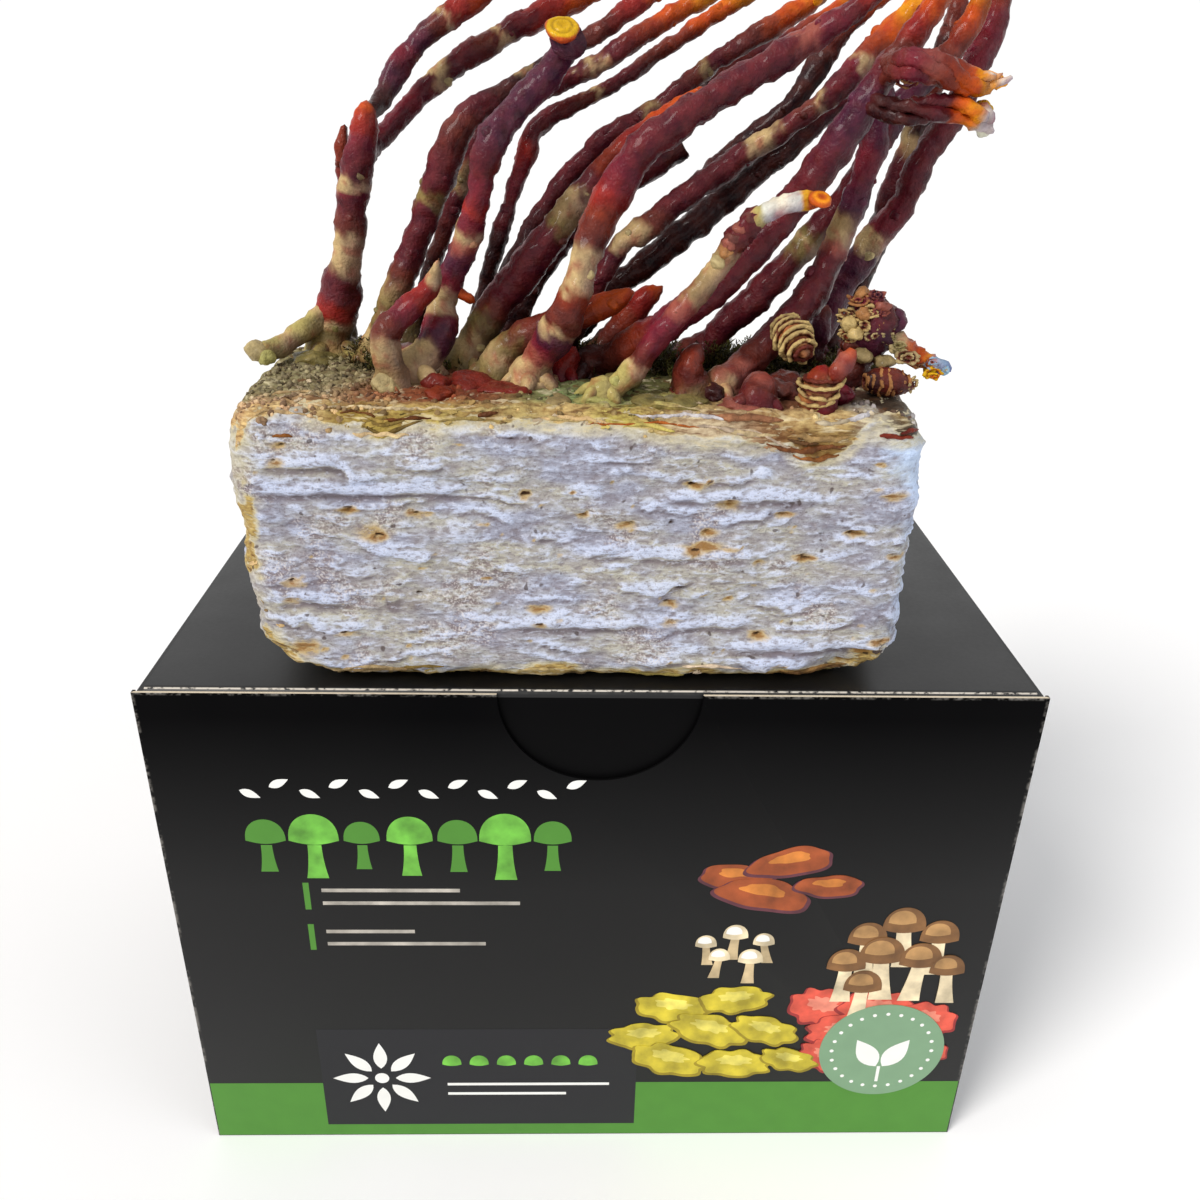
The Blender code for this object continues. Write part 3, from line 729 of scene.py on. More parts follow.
# %% Grow the stems
KNOB_STEP = 13 * MM
KNOB_SIZE = 1.5 * MM
DRIED_ABOVE = {"antler_pale_foot": 40}
CRUMPLED = {"wilted_upper": 0.7, "wilted_lower": 0.6, "stub_crusted": 1.6, "shoot_blue_tip": 1.1,
            "ringed_stub_pale": 0.5, "ringed_stub_front": 0.5, "ringed_cone": 0.4, "shoot_white_tip": 0.4}
STRANDS = {"wilted_upper": 4, "wilted_lower": 3}
FULL_TURN = 6.28
LUMP_STRENGTH = 2.4 * MM
WART_STRENGTH = 1.15 * MM


def join_into(target, pieces):
    pick(target, *pieces)
    bpy.ops.object.join()


def strand_points(line, turn, short):
    """One of the folded strands that a wilted end is twisted of; it stops short by this many points."""
    points = []
    for index, point in enumerate(line[:len(line) - short]):
        angle = turn + index * 0.14 + noise.noise(Vector((index * 0.11, turn, 0.0)))
        out = Vector((0.0, math.cos(angle), math.sin(angle))) * point.w * 0.62
        blunt = math.sqrt(min(1.0, (len(line) - short - index) / 3.0))
        girth = point.w * (0.5 + 0.25 * noise.noise(Vector((index * 0.23, turn, 4.0)))) * blunt
        points.append((point.xyz + out, girth))
    return points


stems = {}
for name in stem_names:
    if name in STRANDS:
        twist = FULL_TURN / STRANDS[name]
        stem, *strands = [draw_tube(name + "_grown", strand_points(lines[name], index * twist + 0.9, index * 2), 6)
                          for index in range(STRANDS[name])]
        join_into(stem, strands)
    else:
        stem = draw_tube(name + "_grown", stem_points(name, lines[name]), STEM_SIDES)
    paint_bands(stem, name, lines[name])
    if name in CRUMPLED:
        crumple(stem, 3.4 * MM, CRUMPLED[name] * MM)
    else:
        push_out(stem, lump_texture, LUMP_STRENGTH)
        crumple(stem, 3.6 * MM, 0.22 * MM)
    if name in DRIED_ABOVE:
        crumple(stem, 3.5 * MM, 1.1 * MM, DRIED_ABOVE[name])
    push_out(stem, wart_texture, WART_STRENGTH)
    stem.data.materials.append(lacquer)
    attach(stem, "root")
    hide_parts(name)
    stems[name] = stem
print(len(stems), "stems with", sum(len(stem.data.polygons) for stem in stems.values()), "faces")


def on_block(x, y, high):
    """A place from millimetres to the right, back and above the block's top."""
    return Vector((x, y, high)) * MM + Vector((0, 0, BLOCK_TOP))


def knob(place, radius, colour, flat, seed):
    """A small ball out of round, painted one colour, for buds and knobs."""
    nothing_selected()
    bpy.ops.mesh.primitive_ico_sphere_add(subdivisions=3, radius=radius)
    made = bpy.context.object
    for vert in made.data.vertices:
        vert.co *= 1.0 + 0.3 * noise.noise(vert.co / (radius * 0.9) + Vector((seed, 0, 0)))
        vert.co.z *= flat
    paint_all(made, speckled(colour, 0.3, 1.2 * MM))
    made.location = place
    settle(made)
    bpy.ops.object.shade_smooth()
    return made


dice = random.Random(5)
for name in stem_names:
    if name in CRUMPLED or len(lines[name]) < 40:
        continue
    line, bands = lines[name], read_bands(BANDS_BY_HEIGHT.get(name) or BANDS_BY_LENGTH[name])
    knobs, index = [], dice.randrange(4, 9)
    while index < len(line) - 6:
        point = line[index]
        out = Vector([dice.uniform(-1, 1), dice.uniform(-1, 0.4), dice.uniform(-0.5, 0.8)]).normalized()
        at = (point.z - BLOCK_TOP) / MM if name in BANDS_BY_HEIGHT else index * LINE_STEP / MM
        colour = band_colour(bands, at) * dice.choice((0.7, 1.0, 1.25))
        size = KNOB_SIZE * dice.uniform(0.6, 1.4)
        knobs.append(knob(point.xyz + out * (point.w * 0.92 - size * 0.45), size, colour, 1.0, index))
        index += int(KNOB_STEP / LINE_STEP * dice.uniform(0.5, 1.6))
    for piece in knobs:
        piece.data.materials.append(lacquer)
    join_into(stems[name], knobs)
print("knobs on the stems")

# %% [markdown]
# ## The block of mycelium
#
# The real block is a loaf of sawdust that white mycelium has knitted together. It took the folds of the bag
# it grew in: layered, papery ledges that run level, with rusty chips where the skin was bruised. Sculpting
# each ledge by hand would take days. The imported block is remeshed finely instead, and its skin is moved
# along its normals by layered noise that is stretched sideways, with the marks seen in the photo put where
# they are.

# %% Block shape
SKIN_VOXEL = 1.01 * MM
CHIP_REACH = 2.7
SPECK_COUNT = 70
# Height, reach to the side, depth (mm) and seed of each size of ledge
LEDGE_SIZES = ((7.5, 30.0, 1.2, 0.3), (3.6, 12.0, 0.7, 0.7))
BLOCK_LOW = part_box("mycelium_block")[0]
CARTON_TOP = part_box("lid")[1].z

# Millimetres to the right of the middle and above the carton, on the front face
CHIPS = [(-89, 76), (-90, 71), (-37, 80), (-21, 62), (-5, 56), (-64, 49), (-52, 56), (-71, 57), (-89, 34), (-90, 28),
    (-75, 17), (-17, 26), (-17, 21), (27, 66), (37, 60), (8, 53), (32, 51), (28, 45), (38, 46), (47, 42), (61, 43),
    (54, 57), (75, 51), (22, 28), (22, 22), (49, 17), (84, 63), (88, 43), (82, 10), (87, 15), (78, 6)]
PITS = [(-87, 81), (-24, 78), (-52, 30), (-86, 39), (21, 54), (24, 33), (28, 71), (79, 6), (84, 8), (88, 13)]
# Wide bruises: right of the middle, above the carton, reach to the side and upward
BRUISES = [(-65, 50, 5.2, 2.6), (31, 47, 7, 1.5), (-88, 12, 5, 3)]
LEDGES = [(-94, -72, 70), (-96, -73, 27), (-29, 46, 20), (1, 44, 43), (-96, -40, 62), (20, 60, 61), (40, 90, 12)]
RIM = [(-101, 74), (-97, 84), (-93, 87), (-82, 87), (-73, 84), (-60, 80), (-50, 83), (-34, 85), (-11, 84), (11, 83),
    (29, 82), (44, 80), (52, 77), (61, 76), (70, 79), (75, 85), (80, 85), (85, 82), (90, 84), (94, 89), (100, 90)]
LOWER_EDGE = [(-103, 32), (-98, 15), (-81, 4), (-50, 5), (47, 5), (81, 7), (92, 17), (94, 31)]


def layers(place, spread, height):
    """Noise that is stretched sideways, as the ledges are."""
    return noise.noise(Vector((place.x / spread, place.y / spread, place.z / height)))


def on_path(path, x):
    return float(np.interp(x, [knot[0] for knot in path], [knot[1] for knot in path]))


skin = copied("mycelium_block", "mycelium_skin")
apply(skin, "REMESH", mode="VOXEL", voxel_size=SKIN_VOXEL)
apply(skin, "SMOOTH", iterations=6)
bpy.ops.object.shade_smooth()
print("block skin:", len(skin.data.polygons), "faces")


def ledges_at(place, facing_front):
    """How far the skin stands out here by its ledges and grain, and its painted light and shade: a painted
    highlight on a lip, a painted shadow under one.
    """
    out = lip = 0.0
    for height, spread, depth, seed in LEDGE_SIZES:
        away = place + Vector((seed, seed, seed))
        level = place.z / MM / height + 1.1 * layers(away, spread * MM, 1.8 * height * MM)
        level += 0.25 * layers(away, 5 * MM, 9 * MM)
        part = level - math.floor(level)
        there = soft_step(layers(away * 1.3, 0.8 * spread * MM, 1.1 * height * MM), -0.1, 0.3)
        out += soft_step(part, 0.0, 0.15) * (1.0 - part) * there * depth
        lip += (soft_step(part, 0.05, 0.16) * (1.0 - soft_step(part, 0.2, 0.7)) - math.exp(-(part / 0.06) ** 2)
                - math.exp(-((1.0 - part) / 0.1) ** 2)) * there * depth / 1.3
    out += 0.45 * layers(place, 4.2 * MM, 2.4 * MM) + 0.3 * noise.noise(place / (2.1 * MM))
    if facing_front > 0.5:
        x, high = place.x / MM, (place.z - CARTON_TOP) / MM
        for left, right, at in LEDGES:
            inside = soft_step(x, left - 4, left + 4) * (1.0 - soft_step(x, right - 4, right + 4))
            drop = at + 1.2 * noise.noise(Vector((x / 9.0, at, 0.0))) - high
            above, below = math.exp(-((drop + 1.8) / 1.9) ** 2), math.exp(-((drop - 1.0) / 1.0) ** 2)
            out += inside * (1.0 * above - 0.9 * below)
            lip += inside * (1.2 * above - 1.3 * below)
    return out * MM, lip


dice = random.Random(3)
chips = [(x, high, CHIP_REACH * dice.uniform(0.6, 1.7), CHIP_REACH * dice.uniform(0.3, 0.62)) for x, high in CHIPS]
chips += BRUISES + [(dice.uniform(-100, 94), dice.uniform(4, 80), dice.uniform(0.5, 1.5), dice.uniform(0.35, 0.7))
          for index in range(SPECK_COUNT)]
pits = [(x + dice.uniform(-1.5, 1.0), high + 0.5, 1.5, 0.6) for x, high in PITS + CHIPS]


def near_marks(marks, x, high):
    """How close this place is to the nearest of the marks, as 1 on it and 0 away from it."""
    gap = min(((x - mark[0]) / mark[2]) ** 2 + ((high - mark[1]) / mark[3]) ** 2 for mark in marks)
    return math.exp(-gap)


# %% [markdown]
# ## What is painted on the block
#
# The white skin keeps to the sides. The rim, the lower edge and the top are dried to crusts of other colours.
# The paint on the vertices says where each one is, and the shader breaks its edges up finely, because a
# vertex is over a millimetre from the next. The paint also carries the painted light and shade of the ledges.

# %% Block marks
# Patches on the top: millimetres to the right, back, reach to the side, reach to the back, colour
TOP_PATCHES = [(-92, -36, 15, 26, (146, 144, 112)), (-76, -48, 14, 14, (150, 144, 112)),
    (-88, -70, 14, 6, (226, 186, 148)), (-66, -56, 9, 10, (156, 92, 60)), (-38, -42, 15, 19, (124, 40, 30)),
    (-50, -60, 12, 8, (146, 76, 50)), (-58, -22, 12, 12, (90, 66, 36)), (-2, -56, 16, 11, (134, 162, 112)),
    (22, -60, 12, 10, (200, 198, 124)), (-20, -72, 50, 5, (214, 188, 128)), (40, -64, 12, 8, (172, 134, 112)),
    (52, -60, 10, 8, (130, 74, 56)), (68, -74, 20, 5, (214, 192, 140)), (82, -55, 6, 7, (44, 32, 28)),
    (85, -65, 5, 7, (40, 28, 26)), (76, -68, 4, 5, (206, 210, 214)), (94, -70, 5, 8, (204, 212, 220)),
    (96, -44, 5, 20, (196, 204, 210)), (70, -40, 16, 14, (80, 40, 46)), (90, -24, 12, 14, (110, 84, 66)),
    (20, -40, 20, 12, (84, 88, 50)), (50, -44, 16, 10, (104, 58, 48)), (0, 0, 70, 36, (70, 78, 42)),
    (-60, 10, 30, 24, (92, 84, 50)), (60, 8, 36, 24, (78, 84, 48))]
# The near-black patches at 82 and 85 mm to the right, on the top and on the rim, are painted shade in the hollow at the
# right front corner
RIM_PATCHES = [(-94, 8, (226, 198, 144)), (-84, 8, (226, 206, 160)), (-70, 9, (158, 136, 66)),
    (-58, 10, (172, 154, 80)), (-44, 8, (188, 172, 106)), (-33, 6, (146, 112, 72)), (-20, 9, (192, 176, 120)),
    (-8, 7, (216, 188, 136)), (4, 8, (196, 188, 100)), (14, 6, (190, 168, 104)), (25, 8, (206, 192, 168)),
    (36, 7, (196, 182, 160)), (46, 7, (150, 110, 78)), (57, 8, (134, 104, 60)), (66, 8, (152, 126, 72)),
    (76, 4, (202, 204, 198)), (85, 5, (62, 46, 36)), (95, 5, (172, 196, 220))]
OCHRE = vertex_tone((190, 168, 108))
# What lies further back looks higher from the front, by this share; the rim's heights are as they look
SLANT = 0.31


def patch_colour(x, y, rim):
    """The crust's colour at this place on the top or, near the edge, on the rim."""
    total, mixed = 0.05, OCHRE * 0.05
    found = [((1.0 - rim) * math.exp(-((x - at_x) / wide) ** 2 - ((y - at_y) / deep) ** 2), colour)
             for at_x, at_y, wide, deep, colour in TOP_PATCHES]
    found += [(rim * math.exp(-((x - at_x) / wide) ** 2), colour) for at_x, wide, colour in RIM_PATCHES]
    for weight, colour in found:
        total, mixed = total + weight, mixed + weight * vertex_tone(colour)
    return mixed / total


for name in ("crust_paint", "wear_paint"):
    skin.data.color_attributes.new(name, "FLOAT_COLOR", "POINT")
crust_paint, wear_paint = skin.data.color_attributes["crust_paint"], skin.data.color_attributes["wear_paint"]
for (vert, place, normal), crust_dab, wear_and_shade_dab in zip(frozen(skin), crust_paint.data, wear_paint.data):
    x, high = place.x / MM, (place.z - CARTON_TOP) / MM
    sway = 3.0 * layers(place, 9 * MM, 7 * MM)
    top = soft_step(normal.z, 0.35, 0.7) * soft_step(high, 70, 78)
    if place.y < 0 and abs(normal.x) < 0.6:
        past_rim = high + SLANT * (place.y - BLOCK_LOW.y) / MM + sway - on_path(RIM, x)
    else:
        past_rim = high + sway - 81 + 10 * top
    stain = soft_step(past_rim + 4.0 * layers(place, 12 * MM, 5 * MM), -7.0, -1.0)
    rim = max(soft_step(past_rim, -1.5, 1.5), 0.3 * stain)
    behind = (place.y - BLOCK_LOW.y) / MM
    side_edge = soft_step(-place.x / MM + sway * 1.3, 93, 101) * (1.0 - soft_step(behind + 2 * sway, 6, 22))
    side_edge *= 0.24 + 0.7 * soft_step(layers(place, 9 * MM, 12 * MM) + 0.2 * noise.noise(place / (3 * MM)), 0.1, 0.3)
    low_edge = soft_step(on_path(LOWER_EDGE, x) + 3 - high + sway * 1.4, 0, 7)
    low_edge *= 1.0 - soft_step(abs(normal.x), 0.4, 0.9)
    crust = max(rim, 0.8 * side_edge, 0.85 * low_edge)
    mark_x = -x if normal.y > 0.5 else x if normal.y < -0.5 else place.y / MM * 1.7
    mark_x += 1.6 * noise.noise(place / (2.6 * MM))
    mark_high = high + 0.8 * noise.noise(place / (3.1 * MM) + Vector((4, 0, 0)))
    chip = near_marks(chips, mark_x, mark_high) if normal.z < 0.5 else 0.0
    pit = near_marks(pits, mark_x, mark_high) if normal.z < 0.5 else 0.0
    out, lip = ledges_at(place, -normal.y)
    out *= 1.0 - 0.8 * top
    out += (rim * (0.6 * layers(place, 7 * MM, 2.2 * MM) + 0.3) + 0.7 * low_edge * layers(place, 4 * MM, 3 * MM)) * MM
    out += top * (1.3 * noise.noise(place / (5 * MM)) + 0.7 * noise.noise(place / (2.4 * MM))) * MM
    out -= (0.8 * chip + 1.3 * pit) * MM
    out -= 2.4 * math.exp(-((x - 85) / 4) ** 2 - ((behind - 8) / 9) ** 2) * MM * (normal.z > 0.3)
    lower = soft_step(high, -1.0, 1.5) if normal.z < -0.5 else 1.0
    vert.co = place + normal * out * lower
    vert.co.z = max(vert.co.z, CARTON_TOP + 0.1 * MM)
    rim_share = (1.0 - soft_step(past_rim, 2.0, 8.0)) * (1.0 - soft_step(behind, 8.0, 15.0))
    colour = patch_colour(x, place.y / MM, rim_share) if rim > 0.05 else OCHRE
    crust_dab.color = (*colour, crust)
    cold = soft_step(x + sway, 70, 92) * soft_step(high, 58, 76) + 0.6 * soft_step(x + sway, 84, 94)
    cold *= 1.0 - soft_step(normal.y, 0.0, 0.6)
    # The blue channel carries the ledges' painted light and shade: above a half a painted highlight on a lip, below it
    # a painted shadow under one
    wear_and_shade_dab.color = (chip, pit, min(max(0.5 + 0.5 * lip, 0.0), 1.0), min(cold, 1.0))
skin.data.update()
print("block painted")

# %% [markdown]
# ## The skin of the block
#
# Close up the mycelium is bluish white on its raised lips and lilac to ivory in between, with fine dark
# specks. On each lip a painted highlight adds to the white, and a painted shadow lies under it. Several
# sizes of stretched noise give it, and the painted masks are broken up before they are used.

# %% Block material
skin_paint, tree, sockets = new_material("mycelium", 0.86)
sockets["Specular IOR Level"].default_value = 0.25
where = add(tree, "TexCoord").outputs["Object"]


def stretched(*scale):
    """The place, scaled by these shares, so that noise there is stretched."""
    mapping = add(tree, "Mapping", Scale=scale)
    join(tree, (where, mapping.inputs["Vector"]))
    return mapping.outputs["Vector"]


streaked = stretched(1.0, 1.0, 2.4)
broad = noise_node(tree, streaked, 42.0, 2.0)
middle = noise_node(tree, streaked, 135.0, 3.0)
small = noise_node(tree, streaked, 430.0, 3.0)
fine = noise_node(tree, where, 1500.0, 3.0)
strata = noise_node(tree, stretched(0.5, 0.5, 4.0), 230.0, 3.0)
specks = noise_node(tree, where, 300.0, 1.0)
tufts = remap(tree, noise_node(tree, where, 60.0, 2.0), 0.54, 0.63)
ragged = math_node(tree, "SUBTRACT", plus(tree, middle, small), 1.0)


def lay_over(below, *coats):
    """Lays colours over the one below, each by a share of its mask."""
    for mask, share, colour in coats:
        below = mix_colours(tree, times(tree, mask, share), below, tint(*colour))
    return below


def broken(mask, amount, low, high):
    """A painted mask with its edge broken up by the noise."""
    torn = plus(tree, times(tree, ragged, amount), 1.0)
    return remap(tree, times(tree, mask, torn), low, high)


crust_in = add(tree, "Attribute", attribute_name="crust_paint")
wear_and_shade_in = add(tree, "Attribute", attribute_name="wear_paint")
wear_and_shade = add(tree, "SeparateColor")
join(tree, (wear_and_shade_in.outputs["Color"], wear_and_shade.inputs["Color"]))
chip, pit, lip = (wear_and_shade.outputs[part] for part in ("Red", "Green", "Blue"))
crust, cold = crust_in.outputs["Alpha"], wear_and_shade_in.outputs["Alpha"]
base = lay_over(
    mix_colours(tree, remap(tree, broad, 0.38, 0.6), tint(152, 154, 170), tint(180, 176, 160)),
    (remap(tree, middle, 0.55, 0.4), 0.5, (138, 132, 142)),
    # Painted highlight on the lips, over the mycelium's own bluish white, then a painted shadow under each lip
    (broken(lip, 0.9, 0.52, 0.85), 0.75, (204, 214, 240)),
    (broken(lip, -0.9, 0.46, 0.15), 0.75, (104, 92, 98)),
    (remap(tree, small, 0.54, 0.7), 0.5, (210, 214, 230)),
    (remap(tree, small, 0.47, 0.34), 0.55, (118, 108, 112)),
    (times(tree, tufts, remap(tree, small, 0.56, 0.42)), 0.6, (124, 108, 108)),
    (times(tree, tufts, remap(tree, fine, 0.53, 0.62)), 0.6, (214, 208, 206)),
    (remap(tree, fine, 0.44, 0.3), 0.5, (108, 96, 98)),
    (broken(cold, 1.2, 0.25, 0.9), 0.7, (196, 218, 250)),
    (broken(crust, 1.6, 0.06, 0.4), 0.8, (204, 192, 150)))
crust_tone = mix_colours(tree, remap(tree, small, 0.3, 0.7), tint(176, 152, 134), tint(255, 250, 238))
crust_colour = lay_over(
    mix_colours(tree, 1.0, crust_in.outputs["Color"], crust_tone, "MULTIPLY"),
    (remap(tree, strata, 0.57, 0.66), 0.5, (232, 218, 180)), (remap(tree, strata, 0.42, 0.33), 0.8, (92, 56, 28)))
base = lay_over(
    mix_colours(tree, broken(crust, 2.2, 0.34, 0.56), base, crust_colour),
    (broken(chip, 1.8, 0.2, 0.6), 0.7, (190, 160, 96)),
    (broken(chip, 1.8, 0.6, 0.9), 0.85, (138, 96, 44)),
    (broken(pit, 1.6, 0.4, 0.75), 0.95, (62, 40, 24)),
    (remap(tree, specks, 0.72, 0.77), 0.8, (72, 58, 54)))
relief = plus(tree, plus(tree, small, times(tree, fine, 0.4)), times(tree, middle, 1.3))
dents = add(tree, "Bump", Distance=0.8 * MM, Strength=0.9)
join(tree, (relief, dents.inputs["Height"]), (dents.outputs["Normal"], sockets["Normal"]),
     (base, sockets["Base Color"]))
skin.data.materials.append(skin_paint)
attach(skin, "root")
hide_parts("mycelium_block")
print("block skin dressed")

# %% [markdown]
# ## The young cap
#
# One antler has begun to open into a cap: a bright yellow button with a groove round it, tilted to the
# front, on an orange collar. It is turned from a sphere: flattened, grooved, and drawn in to the stem.

# %% Young cap
CAP_RADIUS = 4.5 * MM
CAP_NORMAL = Vector((0.05, -0.62, 0.78)).normalized()
nothing_selected()
bpy.ops.mesh.primitive_uv_sphere_add(segments=56, ring_count=36, radius=1.0)
young_cap = bpy.context.object
young_cap.name = "young_cap"
for vert in young_cap.data.vertices:
    out = math.hypot(vert.co.x, vert.co.y)
    turn = math.atan2(vert.co.y, vert.co.x)
    wave = 1.0 + 0.05 * math.sin(3 * turn) + 0.03 * math.sin(7 * turn + 1.0)
    if vert.co.z > 0:
        groove = -0.10 * math.exp(-((out - 0.6) / 0.09) ** 2) - 0.12 * math.exp(-(out / 0.25) ** 2)
        vert.co.z = 0.34 * vert.co.z ** 0.8 + groove
    else:
        vert.co.z *= 0.6
        wave *= 1.0 - 0.25 * soft_step(-vert.co.z, 0.1, 0.9)
    vert.co.x *= wave
    vert.co.y *= wave


def cap_colour(place):
    out = math.hypot(place.x, place.y)
    if place.z < 0.02:
        return shade("orange") * 0.5 + shade("red") * 0.5 if place.z > -0.25 else shade("wine")
    rim = soft_step(out, 0.86, 1.0)
    bright = shade("gold") * (1.0 - rim) + shade("orange") * rim
    # The groove is painted darker: painted shade in it
    return bright * (1.0 - 0.4 * math.exp(-((out - 0.6) / 0.08) ** 2))


paint_all(young_cap, cap_colour)
bpy.ops.object.shade_smooth()
set_down(young_cap, (CAP_RADIUS, CAP_RADIUS, CAP_RADIUS), CAP_NORMAL,
         lines["antler_capped"][-1].xyz + Vector((-1.4, -0.5, 2.6)) * MM)
push_out(young_cap, wart_texture, 0.5 * MM)
young_cap.data.materials.append(lacquer)
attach(young_cap, "root")
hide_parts("antler_capped")
print("young cap:", len(young_cap.data.polygons), "faces")

# %% [markdown]
# ## Odd ends
#
# The white shoot carries an orange button at its far end, the pale shoot curls up at its tip, and the blue
# tipped one is a row of cream knobs. They are the same pressed spheres and small balls as before.

# %% Odd ends
nothing_selected()
bpy.ops.mesh.primitive_uv_sphere_add(segments=40, ring_count=24, radius=1.0)
button = bpy.context.object
for vert in button.data.vertices:
    out = math.hypot(vert.co.x, vert.co.y)
    vert.co *= 1.0 + 0.08 * noise.noise(vert.co * 1.8)
    vert.co.z = vert.co.z * 0.45 - 0.16 * math.exp(-(out / 0.4) ** 2) * (1 if vert.co.z > 0 else 0)
paint_all(button, lambda co: shade("orange") * 1.2
          + shade("gold") * 0.6 * math.exp(-((math.hypot(co.x, co.y) - 0.6) / 0.2) ** 2))
bpy.ops.object.shade_smooth()
set_down(button, (3.4 * MM, 2.7 * MM, 3.0 * MM), Vector((0.25, -0.6, 0.75)),
         lines["shoot_white_tip"][-1].xyz + Vector((0.3, -0.6, 0.6)) * MM)
button.data.materials.append(lacquer)
join_into(stems["shoot_white_tip"], [button])
# Which shoot, millimetres to the right, back and above the block's top, radius, flatness and colour
ODD_KNOBS = {
    "shoot_left_pale": [(-106, -28, 4.6, 3.4, 0.85, "cream"), (-103, -29, 2.8, 2.6, 0.8, "grass")],
    "shoot_blue_tip": [(77, -51, 11.4, 2.9, 0.6, "pale"), (84, -50, 9.4, 3.1, 0.5, "pale"),
                       (99, -48, 7.0, 2.0, 0.9, "gold"), (102, -48.5, 7.0, 1.7, 0.9, "blue")],
    "stub_crusted": [(75, -46, 19, 3.4, 0.9, "maroon"), (74.5, -47, 14, 3.0, 0.9, "brown"),
                     (72.5, -49.5, 20, 2, 0.8, "butter"), (76, -51, 23.5, 1.7, 0.7, "tan"),
                     (74.5, -51, 17.5, 1.8, 0.8, "butter"), (81.5, -50.5, 25.5, 1.8, 0.7, "pink"),
                     (80.5, -50.5, 20.5, 1.7, 0.8, "tan"), (76, -48, 28.5, 1.8, 0.7, "tan"),
                     (86, -46, 20.5, 3.6, 0.9, "purple"), (79, -47, 26, 3, 0.8, "wine")],
    "wilted_lower": [(99.5, -58, 74.5, 2.0, 1.5, "white"), (98.5, -58, 78, 2.2, 0.9, "gold")],
    "wilted_upper": [(96, -58, 83, 2.6, 0.8, "orange"), (101, -59, 84.5, 1.9, 0.8, "yellow")]}
# The pale antler is crusted with knobs where it forks: height above the block in millimetres, and colour
FORK_KNOBS = [(38, "cream"), (40.5, "tan"), (43, "pink"), (45, "mauve"), (47.5, "pink"), (50, "mauve")]
ODD_KNOBS["antler_pale_foot"] = []
for high, colour in FORK_KNOBS:
    near = min(lines["antler_pale_foot"], key=lambda point: abs(point.z - BLOCK_TOP - high * MM))
    place = (near.xyz + Vector((-0.55, -0.7, 0.1)) * near.w * 0.85 - Vector((0, 0, BLOCK_TOP))) / MM
    ODD_KNOBS["antler_pale_foot"].append((*place, 1.9, 0.8, colour))
for name, places in ODD_KNOBS.items():
    pieces = []
    for index, (x, y, high, radius, flat, colour) in enumerate(places):
        pieces.append(knob(on_block(x, y, high), radius * MM, shade(colour), flat, index * 2.7))
        crumple(pieces[-1], 2.2 * MM, (0.7 if name == "stub_crusted" else 0.4) * MM)
        pieces[-1].data.materials.append(lacquer)
    join_into(stems[name], pieces)
print("odd ends:", len(ODD_KNOBS) + 1)

# %% [markdown]
# ## The ringed stubs
#
# Where an antler dried and started again many times, it stands as a pile of frilled rings. Each ring is a
# torus, pressed flat and ruffled, set across the middle line of the stub. A few rings inside each other make
# the pale curls that have opened on the dried growths.

# %% Ringed stubs
# Step from ring to ring and thickness in millimetres, the first and last ring kept, the colours of edge and core
RINGED = {"ringed_stub_pale": (1.0, 0.75, 6, 21, "butter", "brown"),
          "ringed_stub_front": (1.0, 0.75, 1, 9, "butter", "brown"),
          "ringed_cone": (1.7, 0.8, 0, 12, "tan", "brown")}
# The middle of each curl (mm), the way it faces, its outer radius and the colours of edge and core
CURLS = {
    "ringed_cone": [
        ((91.5, -55.5, 4.2), (0.9, -0.4, 0.0), 2.6, "cream", "rust")],
    "stub_crusted": [
        ((72, -47.5, 22.5), (-0.6, -0.7, 0.3), 3.0, "butter", "brown"),
        ((74.5, -49, 26.5), (-0.2, -0.8, 0.6), 2.8, "tan", "wine"),
        ((76, -51, 20.5), (-0.2, -0.9, 0.1), 3.0, "butter", "brown"),
        ((72.5, -49.5, 17.0), (-0.5, -0.8, -0.1), 2.6, "butter", "rust"),
        ((79, -49.5, 28), (0.1, -0.8, 0.6), 2.4, "pink", "purple"),
        ((77.5, -51.5, 23.5), (0.0, -0.9, 0.3), 2.2, "butter", "maroon"),
        ((80, -50.5, 24), (0.1, -0.9, 0.3), 2.6, "pink", "purple"),
        ((79, -51.5, 17.5), (0.0, -0.9, -0.2), 2.6, "cream", "brown"),
        ((84.5, -50, 16.5), (0.2, -0.9, 0.0), 2.8, "cream", "olive")],
    "shoot_blue_tip": [
        ((87.5, -49.5, 13.6), (0.1, -0.8, 0.6), 3.0, "cream", "olive"),
        ((90.5, -50.5, 10.8), (0.0, -0.9, 0.1), 2.8, "cream", "brown"),
        ((94.2, -49.5, 9.4), (0.2, -0.8, 0.5), 2.4, "tan", "brown"),
        ((98.2, -49.5, 9.0), (0.2, -0.7, 0.7), 2.2, "blue", "rust"),
        ((98.7, -50.5, 6.0), (0.1, -0.9, -0.3), 2.3, "gold", "orange"),
        ((102.8, -49.5, 7.2), (0.7, -0.7, 0.3), 1.8, "blue", "gold")],
    "wilted_upper": [
        ((78, -57, 84.5), (-0.2, -0.9, 0.3), 2.6, "tan", "wine"),
        ((90, -57, 84.5), (0.4, -0.9, 0.2), 2.4, "tan", "rust"),
        ((83, -56, 87), (0.1, -0.6, 0.8), 2.4, "pink", "wine")]}


